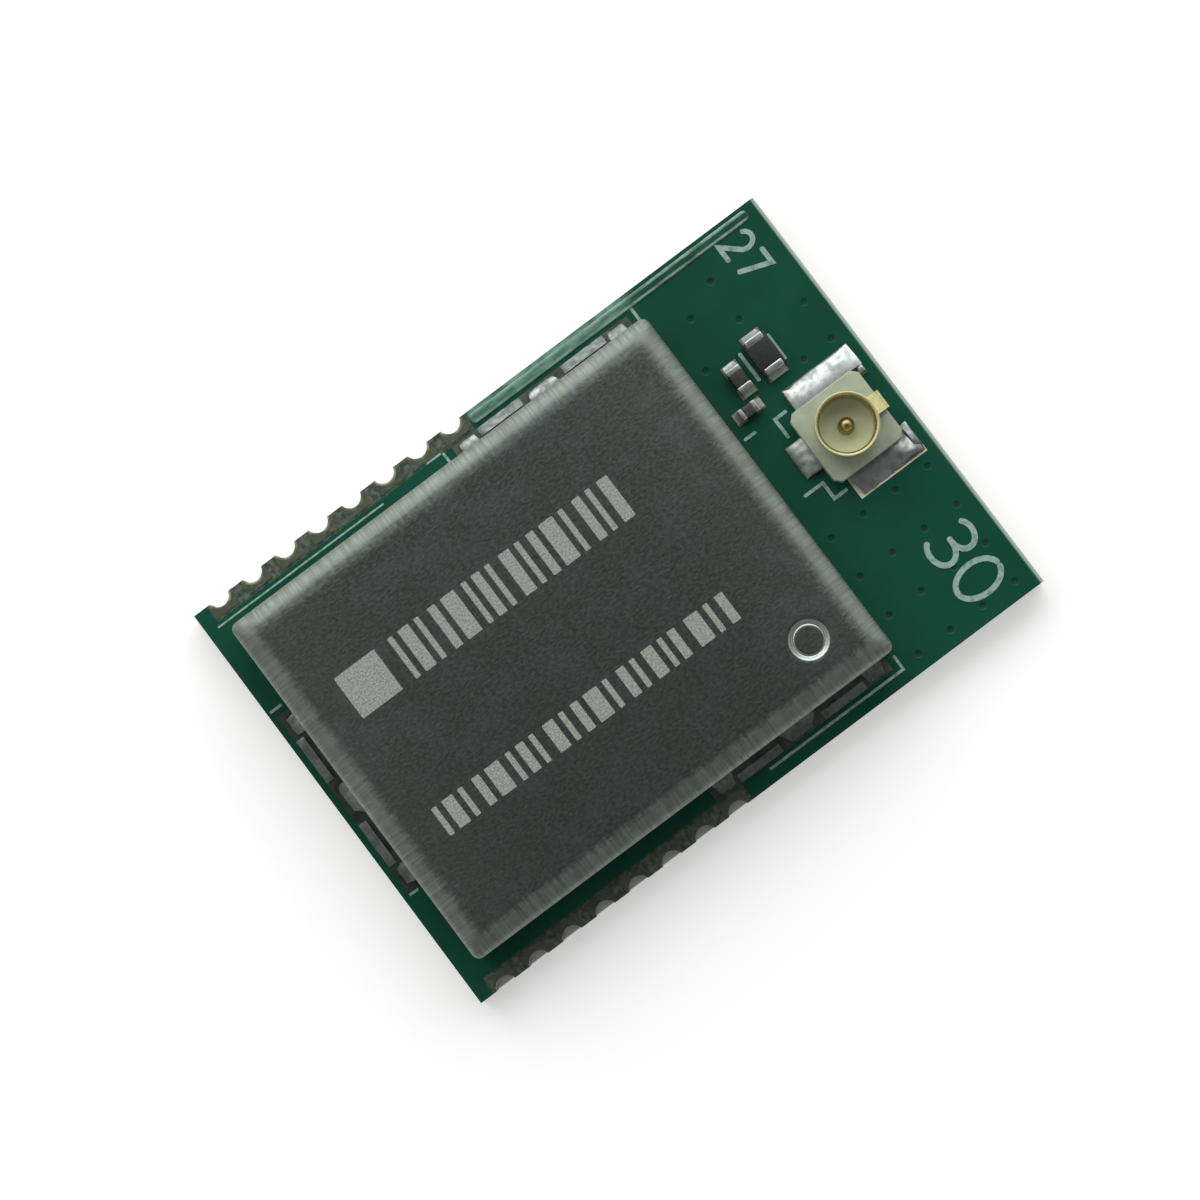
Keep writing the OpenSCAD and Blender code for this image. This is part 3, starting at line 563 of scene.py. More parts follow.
can_sheet, tree, shader, place = start_finish("can_sheet", Metallic=1.0)
rolled = grain(tree, place, 0.07, stretch=(2.0, 1.0, 1.0))
speckle = grain(tree, place, 0.035)
cloud = rise(tree, grain(tree, place, 1.3), 0.45, 0.75)
split = wire(tree, "ShaderNodeSeparateXYZ", {0: place}).node
off_x = calc(tree, "ABSOLUTE", calc(tree, "SUBTRACT", split.outputs["X"], can_middle.x))
off_y = calc(tree, "ABSOLUTE", calc(tree, "SUBTRACT", split.outputs["Y"], can_middle.y))
inset_x = calc(tree, "SUBTRACT", can_half.x, off_x)
inset_y = calc(tree, "SUBTRACT", can_half.y, off_y)
at_end = rise(tree, calc(tree, "SUBTRACT", inset_y, inset_x), -CORNER_BLEND, CORNER_BLEND)
streaks = wire(
    tree,
    "ShaderNodeMix",
    {
        0: at_end,
        2: grain(tree, place, STREAK_W, stretch=(1.0, STREAK_L, STREAK_L)),
        3: grain(tree, place, STREAK_W, stretch=(STREAK_L, 1.0, STREAK_L)),
    },
    data_type="FLOAT",
)
streaked = calc(tree, "MULTIPLY", streaks, STREAK_REACH)
inset = calc(tree, "ADD", calc(tree, "MINIMUM", inset_x, inset_y), streaked)
bent = rise(tree, inset, BEND_W + STREAK_REACH, BEND_W * STREAK_CORE)
from_ring = from_upright(tree, place, RING_CENTRE)
from_band = calc(tree, "ABSOLUTE", calc(tree, "SUBTRACT", from_ring, RING_R - RING_W / 2))
coined = rise(tree, from_band, RING_W / 2, RING_W / 4)
worked = calc(tree, "MAXIMUM", bent, calc(tree, "MULTIPLY", coined, RING_MATT))
tone = blend(tree, rise(tree, rolled, 0.3, 0.7), paint(119, 133, 126), paint(140, 154, 146))
tone = blend(tree, calc(tree, "MULTIPLY", cloud, CLOUD_SHARE), tone, paint(118, 130, 138))
# The sheet is painted lighter towards both ends of the can: a painted reflection.
tone = blend(tree, rise(tree, off_x, *END_SHEEN_RUN, 0.0, END_SHEEN_SHARE), tone, paint(156, 168, 159))
# The ring band is painted paler: a painted highlight.
tone = blend(tree, coined, tone, paint(178, 188, 178))
scuffed = blend(tree, rise(tree, streaks, 0.35, 0.65), paint(135, 145, 135), paint(115, 122, 111))
tone = blend(tree, calc(tree, "MULTIPLY", bent, SCUFF_SHARE), tone, scuffed)
satin = rise(tree, rolled, 0.2, 0.8, *SHEET_ROUGHNESS)
satin = calc(tree, "ADD", satin, calc(tree, "MULTIPLY", cloud, CLOUD_MATT))
feed(
    tree,
    shader,
    Base_Color=tone,
    Roughness=calc(tree, "ADD", satin, calc(tree, "MULTIPLY", worked, MATT_BEND)),
)
relief(tree, shader, calc(tree, "ADD", rolled, speckle), ROLLED_DEPTH)
frame["nodes"]["crystal_lid"].data.materials[0] = can_sheet


def loop_spot(value, half, inset):
    """Where a point of the can's outline lies, along one axis, on a loop set in from the outline."""
    turn_r = CORNER_R + CORNER_SPREAD * inset
    start, end = half - CORNER_R, half - inset - turn_r
    if abs(value) <= start:
        return value * end / start
    return math.copysign(end + (abs(value) - start) * turn_r / CORNER_R, value)


bm = bmesh.new()
outline = bm.verts.layers.float_vector.new("outline")
bmesh.ops.create_grid(bm, x_segments=1, y_segments=1, size=1.0)
bmesh.ops.scale(bm, vec=can_half, verts=bm.verts)
bmesh.ops.bevel(
    bm,
    geom=list(bm.verts),
    offset=CORNER_R,
    segments=CORNER_STEPS,
    profile=0.5,
    affect="VERTICES",
    material=-1,
)
bmesh.ops.delete(bm, geom=list(bm.faces), context="FACES_ONLY")
long_sides = [edge for edge in bm.edges if edge.calc_length() > 2 * CORNER_R]
bmesh.ops.subdivide_edges(bm, edges=long_sides, cuts=SIDE_CUTS)
foot_edges = [
    way * reach
    for way in (-1, 1)
    for reach in (FOOT_RUN / 2, WINDOW_OFFSET + WINDOW_L / 2, WINDOW_OFFSET - WINDOW_L / 2)
]
for along in foot_edges:
    for spot, way in (((run_x - can_middle.x + along, 0, 0), (1, 0, 0)), ((0, along, 0), (0, 1, 0))):
        loop = [*bm.verts, *bm.edges]
        bmesh.ops.bisect_plane(bm, geom=loop, dist=1e-5, plane_co=spot, plane_no=way)
for vert in bm.verts:
    vert[outline] = vert.co
    vert.co.z = can_low.z
levels = [(0.0, can_low.z + FOOT_LIFT), (0.0, can_low.z + WINDOW_RISE)]
for step in range(BEND_STEPS + 1):
    turn = math.pi / 2 * step / BEND_STEPS
    levels.append((BEND_W * (1 - math.cos(turn)), can_high.z - BEND_R * (1 - math.sin(turn))))
levels += [(BEND_W + EASE_STEP * (step + 1), can_high.z) for step in range(EASE_LOOPS)]
loop = list(bm.edges)
for inset, height in levels:
    made = bmesh.ops.extrude_edge_only(bm, edges=loop)["geom"]
    fresh = {item for item in made if isinstance(item, bmesh.types.BMVert)}
    loop = [item for item in made if isinstance(item, bmesh.types.BMEdge) and fresh.issuperset(item.verts)]
    for vert in fresh:
        x, y = [loop_spot(vert[outline][axis], can_half[axis], inset) for axis in (0, 1)]
        vert.co = (x, y, height)
bmesh.ops.translate(bm, vec=(can_middle.x, can_middle.y, 0), verts=bm.verts)


def is_cut_away(face):
    """Tells a face of the wall that is open: a window, or the gap under a wall with no feet."""
    centre = face.calc_center_median()
    level = centre.z - can_low.z
    if centre.x < can_low.x + CORNER_R / 2:
        along = centre.y
    elif abs(centre.y) > can_high.y - CORNER_R / 2:
        along = centre.x - run_x
    else:
        along = FOOT_RUN
    in_window = abs(abs(along) - WINDOW_OFFSET) < WINDOW_L / 2 and level < WINDOW_RISE
    return in_window or (abs(along) > FOOT_RUN / 2 and level < FOOT_LIFT)


bmesh.ops.delete(bm, geom=[face for face in bm.faces if is_cut_away(face)], context="FACES")

ring_profile = [(RING_FIELD, 0.0)]
for step in range(RING_STEPS + 1):
    across = step / RING_STEPS
    ring_profile.append((RING_R - RING_W * across, -RING_DEPTH * math.sin(math.pi * across**RING_LEAN)))
ring_profile.append((0.0, 0.0))
ring_verts = [bm.verts.new(RING_CENTRE + Vector((r, 0, can_high.z + z))) for r, z in ring_profile]
ring_edges = [bm.edges.new(pair) for pair in zip(ring_verts, ring_verts[1:])]
bmesh.ops.spin(
    bm,
    geom=ring_verts + ring_edges,
    cent=RING_CENTRE,
    axis=(0, 0, 1),
    angle=2 * math.pi,
    steps=RING_TURN_STEPS,
    use_merge=True,
)
pole = [vert for vert in bm.verts if (vert.co - RING_CENTRE).xy.length < 1e-4]
bmesh.ops.remove_doubles(bm, verts=pole, dist=1e-4)


def on_ring_rim(vert):
    """Tells a vertex on the outer edge of the coined ring's patch."""
    return abs((vert.co - RING_CENTRE).xy.length - RING_FIELD) < 1e-3


ring_rim = [edge for edge in bm.edges if edge.is_boundary and all(on_ring_rim(vert) for vert in edge.verts)]
bmesh.ops.triangle_fill(bm, edges=loop + ring_rim, use_beauty=True, normal=(0, 0, 1))

ease_width = EASE_STEP * EASE_LOOPS
for vert in bm.verts:
    if vert.co.z < can_high.z - BEND_R or (vert.co - RING_CENTRE).xy.length < RING_FIELD:
        continue
    inset = min(
        vert.co.x - can_low.x, can_high.x - vert.co.x, vert.co.y - can_low.y, can_high.y - vert.co.y
    )
    uneven = 1.0
    for fineness, layer, share in FOLD_WAVES:
        uneven += share * noise.noise(Vector((vert.co.x * fineness, vert.co.y * fineness, layer)))
    fade = max(0.0, 1 - max(inset - BEND_W, 0) / ease_width) ** 2
    vert.co.z -= FOLD_MARK * fade * min(inset / BEND_W, 1.0) * uneven
bmesh.ops.recalc_face_normals(bm, faces=bm.faces)
if sum(face.normal.z * face.calc_area() for face in bm.faces) < 0:
    bmesh.ops.reverse_faces(bm, faces=bm.faces)
can = fit_piece("shield_can_folded", bm, can_sheet, "can_sheet", "shield_can", closed=False)
thickness = can.modifiers.new("sheet", "SOLIDIFY")
thickness.thickness = SHEET * MM
thickness.offset = -1.0

# Etched marks
# A plain square and two rows of plain upright bars, burnt into the can's plating by a laser, which
# leaves a pale, matt face with a fine grain. They name nothing.
MARK_RISE = 0.004
MARK_CORNER_R = 0.03
MARK_SQUARE = ((-8.3, 1.6), (-6.8, 3.1))
MARK_ROWS = [((-6.3, 1.6), (1.6, 3.1)), ((-8.3, -2.8), (2.6, -1.8))]
MARK_WIDTHS = (0.18, 0.40, 0.18, 0.28, 0.52, 0.18, 0.30)
MARK_GAPS = (0.20, 0.20, 0.34, 0.20, 0.26)
etch, tree, shader, place = start_finish("etched_metal", Metallic=0.35)
burn = rise(tree, grain(tree, place, 0.06), 0.3, 0.7)
feed(
    tree,
    shader,
    Base_Color=blend(tree, burn, paint(130, 141, 131), paint(176, 186, 175)),
    Roughness=rise(tree, burn, 0.0, 1.0, 0.55, 0.75),
)
relief(tree, shader, grain(tree, place, 0.04), 0.006)
marks = [MARK_SQUARE]
for (start, low_y), (end, high_y) in MARK_ROWS:
    x = start
    bar = 0
    while x < end:
        width = MARK_WIDTHS[bar % len(MARK_WIDTHS)]
        marks.append(((x, low_y), (x + width, high_y)))
        x += width + MARK_GAPS[bar % len(MARK_GAPS)]
        bar += 1
bm = bmesh.new()
for low, high in marks:
    mark = add_block(bm, (*low, can_high.z - MARK_RISE), (*high, can_high.z + MARK_RISE))
    round_uprights(bm, mark, MARK_CORNER_R, 3)
fit_piece("etched_marks", bm, etch, "can_sheet")

# Solder of the can
# Tin solder that was melted round the feet: a hollow fillet climbs each foot, and a low bar lies in
# front of each window, where the paste had nothing to climb.
MID_FOOT_L = 1.40
END_FOOT_L = 0.76
FILLET_REACH = 0.42
FILLET_RISE = {"rear": 0.44, "front": 0.06, "left": 0.12}
BAR_W = 0.28
BAR_RISE = 0.04
BAR_L = 1.6
BAR_FAR = {"rear": 0.49, "front": 0.49, "left": 0.58}
WALL_SINK = 0.03
FILLET_TOE = 0.025
BAR_TOE = 0.02
MID_TAPER = 0.3
END_TAPER = 0.1
POOL_STEPS = (30, 12)
LUMPS_ALONG = 2.2
LUMPS_ACROSS = 2.0
END_WANDER = 0.5
TOE_WANDER = 0.06

solder = tin_finish("solder", paint(124, 132, 129), paint(160, 168, 165), 0.42)
# A darker copy of the solder for the front and left fillets: painted shade.
shaded_solder = tin_finish("shaded_solder", paint(104, 112, 108), paint(138, 146, 142), 0.46)
seat_z = can_low.z


def add_pool(bm, place, length, near, far, height_at, taper=0.0, seed=0.0, lumps=0.14):
    """Adds a pool of solder on a land: X runs along it, Y from near to far, Z up by height_at."""
    steps_x, steps_y = POOL_STEPS
    base = bmesh.ops.create_grid(bm, x_segments=steps_x, y_segments=steps_y, size=1.0)["verts"]
    faces = list({face for vert in base for face in vert.link_faces})
    made = bmesh.ops.extrude_face_region(bm, geom=faces, use_keep_orig=True)["geom"]
    tops = [item for item in made if isinstance(item, bmesh.types.BMVert)]
    for raised, verts in ((0, base), (1, tops)):
        for vert in verts:
            along, out = vert.co.x, (vert.co.y + 1) / 2
            lump = noise.noise(Vector((along * length * LUMPS_ALONG, out * LUMPS_ACROSS, seed)))
            half = length / 2 - taper * out * (1 + END_WANDER * lump)
            inner = (1 - along**4) * (1 - (2 * out - 1) ** 8)
            height = height_at(along, out) * (1 + lumps * lump * inner)
            toe = out + TOE_WANDER * lump * out
            vert.co = Vector((along * half, near + (far - near) * toe, raised * height))
    bmesh.ops.transform(bm, matrix=place, verts=base + tops)


def fillet(side):
    """The hollow slope of a side's fillets, from their top edge on the wall to their toe."""
    def slope(along, out):
        return FILLET_RISE[side] * (1 - out) ** 2.0 * (1 - 0.35 * along**6) + FILLET_TOE
    return slope


def bar_height(along, out):
    """Slope of a bar, which falls away from the can."""
    return BAR_RISE * (1 - out) * max(0.0, 1 - along**8) + BAR_TOE


def side_place(side):
    """Where a soldered run's middle is: X along the wall, Y outwards from its outer face."""
    if side == "left":
        return Matrix.Translation((can_low.x, 0, seat_z)) @ Matrix.Rotation(math.pi / 2, 4, "Z")
    if side == "front":
        return Matrix.Translation((run_x, can_low.y, seat_z)) @ Matrix.Rotation(math.pi, 4, "Z")
    return Matrix.Translation((run_x, can_high.y, seat_z))


for number, side in enumerate(("rear", "front", "left")):
    bm = bmesh.new()
    at_run = side_place(side)
    seed = number * 10.0
    add_pool(bm, at_run, MID_FOOT_L, -WALL_SINK, FILLET_REACH, fillet(side), MID_TAPER, seed)
    for way in (-1, 1):
        foot = at_run @ Matrix.Translation((way * (FOOT_RUN - END_FOOT_L) / 2, 0, 0))
        add_pool(bm, foot, END_FOOT_L, -WALL_SINK, FILLET_REACH, fillet(side), END_TAPER, seed + way)
        bar = at_run @ Matrix.Translation((way * WINDOW_OFFSET, 0, 0))
        add_pool(bm, bar, BAR_L, BAR_FAR[side] - BAR_W, BAR_FAR[side], bar_height, 0.0, seed + 3 * way)
    # The front and left fillets take the darker copy of the solder: painted shade.
    tin = solder if side == "rear" else shaded_solder
    fit_piece(f"can_solder_{side}", bm, tin, "solder", f"shield_solder_{side}", crease=60)

# Aerial receptacle: housing
# A square block of cream heat-proof plastic, moulded round the metal parts, with cut corners and a
# round floor inside the barrel. The floor is painted paler than the rest of the block: painted light.
HOUSING_CUT = 0.2
HOUSING_H = 0.5
HOUSING_EDGE = 0.04
FLOOR_H = 0.42
BARREL_INNER_R = 0.84
BARREL_R = 0.94
LIT_FLOOR_FADE = (0.94, 0.82)
FLOOR_STEPS = 72

housing_low, housing_high = box_mm("receptacle_housing")
axis = (housing_low + housing_high) / 2
at_axis = Matrix.Translation((axis.x, axis.y, seat_z))

polymer, tree, shader, place = start_finish("cream_polymer")
cream = rise(tree, grain(tree, place, 0.5), 0.3, 0.7)
cream = blend(tree, cream, paint(158, 170, 147), paint(174, 184, 160))
from_axis = from_upright(tree, place, axis)
# The floor inside the barrel is painted paler: painted light.
feed(
    tree,
    shader,
    Base_Color=blend(tree, rise(tree, from_axis, *LIT_FLOOR_FADE), cream, paint(212, 217, 186)),
    Roughness=rise(tree, grain(tree, place, 0.12), 0.3, 0.7, 0.42, 0.56),
)
relief(tree, shader, grain(tree, place, 0.06), 0.003)
bm = bmesh.new()
block = add_block(bm, housing_low, housing_high)
round_uprights(bm, block, HOUSING_CUT, 1)
crown = [side for side in bm.edges if min(vert.co.z for vert in side.verts) > housing_high.z - 1e-4]
bmesh.ops.bevel(bm, geom=crown, offset=HOUSING_EDGE, segments=4, profile=0.5, affect="EDGES", material=-1)
bm.normal_update()
top = max((face for face in bm.faces if face.normal.z > 0.99), key=lambda face: face.calc_area())
rim = list(top.edges)
bmesh.ops.delete(bm, geom=[top], context="FACES_ONLY")
at_top = Matrix.Translation((axis.x, axis.y, housing_high.z))
hole_r = (BARREL_INNER_R + BARREL_R) / 2
hole = bmesh.ops.create_circle(bm, segments=FLOOR_STEPS, radius=hole_r, matrix=at_top)["verts"]
hole_edges = list({edge for vert in hole for edge in vert.link_edges})
bmesh.ops.triangle_fill(bm, edges=rim + hole_edges, use_beauty=True, normal=(0, 0, 1))
made = bmesh.ops.extrude_edge_only(bm, edges=hole_edges)["geom"]
floor_rim = [item for item in made if isinstance(item, bmesh.types.BMVert)]
bmesh.ops.translate(bm, vec=(0, 0, FLOOR_H - HOUSING_H), verts=floor_rim)
floor_edges = [item for item in made if isinstance(item, bmesh.types.BMEdge) and item.is_boundary]
bmesh.ops.edgenet_fill(bm, edges=floor_edges)
fit_piece("receptacle_housing_moulded", bm, polymer, "cream_polymer", "receptacle_housing", crease=30)

# Aerial receptacle: shell and centre contact
# A barrel with a snap rim, drawn from thin brass sheet with two soldered legs and a tab folded over
# the housing's end, and a round-nosed pin with a flat tail. Both are plated with pale gold, which
# plugs have rubbed matt along the top of the rim.
RIM_R = 1.0
RIM_H = 0.24
RIM_ROUND = 0.03
RUBBED_Z = (2.19, 2.24)
RUBBED_MATT = 0.3
GOLD_ROUGHNESS = (0.24, 0.38)
PIN_FADE = (0.4, 0.3)
SNAP_H = 0.06
FLARE_W = 0.12
FLARE_H = 0.3
BARREL_H = 1.23
BARREL_SINK = 0.05
PIN_R = 0.25
PIN_H = 1.0
PIN_ROOT = 0.02
SHELL_T = 0.13
SHELL_EDGE = 0.03
LEG_W = 1.6
TAB_W = 0.63
TAIL_W = 0.5
TAB_PROFILE = [
    (0.90, 0.62),
    (0.90, 0.79),
    (0.98, 0.76),
    (1.24, 0.655),
    (1.34, 0.62),
    (1.41, 0.55),
    (1.43, 0.45),
    (1.43, 0.0),
]
TURN_STEPS = 72


def spin_profile(bm, profile, place):
    """Turns a half section of (radius, height) points about the upright axis at place."""
    verts = [bm.verts.new((radius, 0, height)) for radius, height in profile]
    edges = [bm.edges.new(pair) for pair in zip(verts, verts[1:])]
    old = set(bm.verts) - set(verts)
    bmesh.ops.spin(
        bm,
        geom=verts + edges,
        cent=(0, 0, 0),
        axis=(0, 0, 1),
        angle=2 * math.pi,
        steps=TURN_STEPS,
        use_merge=True,
    )
    turned = [vert for vert in bm.verts if vert not in old]
    bmesh.ops.remove_doubles(bm, verts=[vert for vert in turned if vert.co.xy.length < 1e-4], dist=1e-4)
    bmesh.ops.transform(bm, matrix=place, verts=[vert for vert in bm.verts if vert not in old])


receptacle_gold, tree, shader, place = start_finish("receptacle_gold", Metallic=1.0)
worn = rise(tree, grain(tree, place, 0.25), 0.35, 0.7)
drawn = grain(tree, place, 0.05, stretch=(1.0, 1.0, 4.0))
rubbed = rise(tree, wire(tree, "ShaderNodeSeparateXYZ", {0: place}, output=2), *RUBBED_Z)
gold = blend(tree, worn, paint(208, 204, 148), paint(188, 182, 126))
gold = blend(tree, rubbed, gold, paint(206, 200, 160))
from_axis = from_upright(tree, place, axis)
satin = rise(tree, drawn, 0.3, 0.7, *GOLD_ROUGHNESS)
feed(
    tree,
    shader,
    Base_Color=blend(tree, rise(tree, from_axis, *PIN_FADE), gold, paint(158, 146, 92)),
    Roughness=calc(tree, "ADD", satin, calc(tree, "MULTIPLY", rubbed, RUBBED_MATT)),
)
relief(tree, shader, drawn, 0.0015)
bm = bmesh.new()
spin_profile(
    bm,
    [
        (BARREL_INNER_R, BARREL_SINK),
        *arc((BARREL_INNER_R + FLARE_W, BARREL_H - FLARE_H), (FLARE_W, FLARE_H), 180, 90, 8),
        *arc((RIM_R - RIM_ROUND, BARREL_H - RIM_ROUND), (RIM_ROUND, RIM_ROUND), 90, 0, 5),
        (RIM_R, BARREL_H - RIM_H),
        *arc((RIM_R, BARREL_H - RIM_H - SNAP_H), (RIM_R - BARREL_R, SNAP_H), 90, 180, 5),
        (BARREL_R, BARREL_SINK),
        (BARREL_INNER_R, BARREL_SINK),
    ],
    at_axis,
)
half = (housing_high.x - housing_low.x) / 2
leg_far = box_mm("receptacle_shell")[1].y
for way in (-1, 1):
    low_y, high_y = sorted((way * BARREL_R, way * leg_far))
    leg_low = (axis.x - LEG_W / 2, low_y, seat_z)
    add_block(bm, leg_low, (axis.x + LEG_W / 2, high_y, seat_z + SHELL_T), SHELL_EDGE)
tab_path = [*TAB_PROFILE, (half, 0.0), (half, HOUSING_H)]
tab_face = bm.faces.new([bm.verts.new((x, -TAB_W / 2, z)) for x, z in tab_path])
made = bmesh.ops.extrude_face_region(bm, geom=[tab_face], use_keep_orig=True)["geom"]
tab_far = [item for item in made if isinstance(item, bmesh.types.BMVert)]
bmesh.ops.translate(bm, vec=(0, TAB_W, 0), verts=tab_far)
bmesh.ops.transform(bm, matrix=at_axis, verts=[*tab_face.verts, *tab_far])
fit_piece("receptacle_shell_drawn", bm, receptacle_gold, "receptacle_gold", "receptacle_shell")

bm = bmesh.new()
root = arc((PIN_R + PIN_ROOT, FLOOR_H + PIN_ROOT), (PIN_ROOT, PIN_ROOT), 270, 180, 4)
nose = arc((0.0, PIN_H - PIN_R), (PIN_R, PIN_R), 0, 90, 9)
spin_profile(bm, root + nose, at_axis)
tail_end = box_mm("receptacle_contact")[0].x
add_block(bm, (tail_end, -TAIL_W / 2, seat_z), (axis.x - BARREL_R, TAIL_W / 2, seat_z + SHELL_T), SHELL_EDGE)
fit_piece("receptacle_contact_turned", bm, receptacle_gold, "receptacle_gold", "receptacle_contact")

# Solder of the receptacle
# Tin solder over the two legs and the tail: each pool climbs the plastic's side a little and runs
# out to the rim of its land. The front joint froze with one end swollen, and a small pool stands at
# one corner of each ground land.
JOINT_H = {"rear": 0.24, "front": 0.17, "tail": 0.24}
CORNER_H = 0.4
JOINT_SINK = 0.02
SWELL_H = 0.34
SWELL_SIDE = {"rear": 0, "front": -1}
SWELL_START = 0.3
SWELL_STEEPNESS = 3.0
JOINT_TOE = 0.03
CORNER_TOE = 0.02
JOINT_TAPER = 0.03
JOINT_LUMPS = 0.04
JOINT_SEEDS = {"rear": 40.0, "front": 41.0, "tail": 60.0}
CORNER_SEEDS = {"rear": 50.0, "front": 51.0}
BARE_LAND = {"rear": 0.01, "front": 0.13}
CORNER_W = 0.26
CORNER_RUN = {"rear": (-0.28, 0.24), "front": (-0.5, 0.36)}


def joint(side):
    """The slope of a ground joint, from the housing's side to the land's rim, with its swollen end."""
    def slope(along, out):
        past_start = SWELL_SIDE[side] * along - SWELL_START
        swollen = max(0.0, min(1.0, past_start * SWELL_STEEPNESS))
        fall = JOINT_H[side] * (1 - out**2.4) * (1 - 0.4 * along**6)
        swell = SWELL_H * out * (1 - out**6) * (1 - along**8)
        return fall + (swell - fall) * swollen + JOINT_TOE
    return slope


def tail_joint_height(along, out):
    """Round back of the joint that covers the tail."""
    return JOINT_H["tail"] * (1 - out**4) * (1 - 0.5 * along**4) + JOINT_TOE


def corner_height(along, out):
    """Round back of the pool at a ground land's corner, highest near its front end."""
    return CORNER_H * out**0.4 * (1 - out) * (1 - along**6) + CORNER_TOE


# A brighter copy of the solder for the rear joint, which faces the light: painted light.
lit_solder = tin_finish("lit_solder", paint(154, 162, 159), paint(192, 199, 196), 0.4)
for side, way in (("rear", 1), ("front", -1)):
    low, high = box_mm(f"ground_land_{side}")
    wall = way * half
    bare = BARE_LAND[side]
    reach = max(abs(low.y), abs(high.y)) - half - bare / 2
    turn = Matrix.Rotation(0 if way > 0 else math.pi, 4, "Z")
    bm = bmesh.new()
    place = Matrix.Translation(((low.x + bare + high.x) / 2, wall, seat_z)) @ turn
    length = high.x - low.x - bare
    seed = JOINT_SEEDS[side]
    add_pool(bm, place, length, -JOINT_SINK, reach, joint(side), JOINT_TAPER, seed, JOINT_LUMPS)
    corner = Matrix.Translation((high.x - CORNER_W / 2, wall, seat_z))
    add_pool(bm, corner, CORNER_W, *CORNER_RUN[side], corner_height, seed=CORNER_SEEDS[side])
    # The rear joint takes the brighter copy: painted light.
    tin = lit_solder if side == "rear" else solder
    fit_piece(f"ground_joint_{side}", bm, tin, "solder", f"ground_solder_{side}", crease=60)

frosted_solder = tin_finish("frosted_solder", paint(150, 159, 152), paint(180, 188, 182), 0.5, 0.5)
low, high = box_mm("signal_land")
bm = bmesh.new()
place = Matrix.Translation((axis.x - half, 0, seat_z)) @ Matrix.Rotation(math.pi / 2, 4, "Z")
reach = axis.x - half - low.x
seed = JOINT_SEEDS["tail"]
add_pool(bm, place, high.y - low.y, -JOINT_SINK, reach, tail_joint_height, JOINT_TAPER, seed)
fit_piece("signal_joint", bm, frosted_solder, "solder", "signal_solder", crease=60)

# Chips beside the receptacle
# Three ceramic chips, each a fired body with a metal cap dipped on each end. Each is soldered flat to
# two lands by joints that froze with a dull, frosted face.
CHIPS = {
    "link": ("chip_black", "y", 0.22),
    "shunt": ("chip_ceramic", "y", 0.18),
    "series": ("chip_grey", "x", 0.16),
}
CAP_EDGE = 0.035
CAP_T = 0.01
CHIP_JOINT_REACH = 0.19
CHIP_JOINT_RISE = 0.7
CHIP_TOE = 0.02
CHIP_TAPER = 0.05
CHIP_SEED = 70.0


def chip_joint(height):
    """The slope of a joint that climbs part of a chip's end."""
    def slope(along, out):
        return CHIP_JOINT_RISE * height * (1 - out) ** 1.8 * (1 - 0.4 * along**4) + CHIP_TOE
    return slope


solder_bm = bmesh.new()
for number, (chip, (slot, run, cap_l)) in enumerate(CHIPS.items()):
    low, high = box_mm(f"{chip}_chip_caps")
    body_low, body_high = box_mm(f"{chip}_chip_body")
    centre = (low + high) / 2
    along, over = (1, 0) if run == "y" else (0, 1)
    length = (high - low)[along]
    width = (high - low)[over]
    body_w = max((body_high - body_low)[over], width - 2 * CAP_T)
    turn = Matrix.Rotation(math.pi / 2 * along, 4, "Z")
    at_chip = Matrix.Translation((centre.x, centre.y, 0)) @ turn
    body = bmesh.new()
    tall = high.z
    add_block(
        body,
        (-length / 2 + CAP_EDGE, -body_w / 2, low.z + CAP_T),
        (length / 2 - CAP_EDGE, body_w / 2, tall - CAP_T),
        CAP_EDGE,
    )
    bmesh.ops.transform(body, matrix=at_chip, verts=body.verts)
    fit_piece(f"{chip}_chip_fired", body, finishes[slot], slot, f"{chip}_chip_body")
    caps = bmesh.new()
    for way in (-1, 1):
        near, far = sorted((way * (length / 2 - cap_l), way * length / 2))
        add_block(caps, (near, -width / 2, low.z), (far, width / 2, tall), CAP_EDGE, 4)
        end = Matrix.Translation((centre.x, centre.y, seat_z)) @ turn
        end = end @ Matrix.Translation((way * length / 2, 0, 0)) @ Matrix.Rotation(-way * math.pi / 2, 4, "Z")
        climb = chip_joint(tall - low.z)
        seed = CHIP_SEED + 3 * number + way
        add_pool(solder_bm, end, width, -JOINT_SINK, CHIP_JOINT_REACH, climb, CHIP_TAPER, seed)
    bmesh.ops.transform(caps, matrix=at_chip, verts=caps.verts)
    fit_piece(f"{chip}_chip_ends", caps, finishes["tinned_caps"], "tinned_caps", f"{chip}_chip_caps")
fit_piece("chip_joints", solder_bm, frosted_solder, "solder", "chip_solder", crease=60)

# Floor, light and camera
# A white table, a soft box above the module's far side, and a surround that is darker overhead. The
# table doesn't glow under the front half of the board, so the front half holes keep their shade.
# Sizes are in metres, but CAMERA_AT, CAMERA_AIM, CAMERA_LENS and SHADE_EDGE are in millimetres.
FLOOR_HALF = 2.0
FLOOR_GAP = 0.00002
SHADE_EDGE = 0.02
TABLE_WHITE = (0.8, 0.8, 0.8, 1.0)
TABLE_GLOW = 0.4
LOW_BAND = (0.6, 0.2)
LOW_SIDES = (-0.3, 0.9, 0.14, 1.0)
SKY_TOP = (0.95, 0.68)
SKY_FOOT = (0.2, 0.5)
SKY_SIDES = (-0.7, 0.9, 0.3, 1.3)
SURROUND = 0.06
KEY_WAY = Vector((0.36, 0.933, 0.0))
KEY_OUT = 0.28
KEY_UP = 0.22
KEY_WIDE = 0.6
KEY_TALL = 0.36
KEY_POWER = 1.1
CAMERA_AT = Vector((-0.55, -5.19, 103.96))
CAMERA_AIM = Vector((-0.45, 0.29, 1.0))
CAMERA_TURN = math.radians(36.92)
CAMERA_LENS = 100.8

scene = bpy.context.scene
scene.view_settings.view_transform = "Standard"

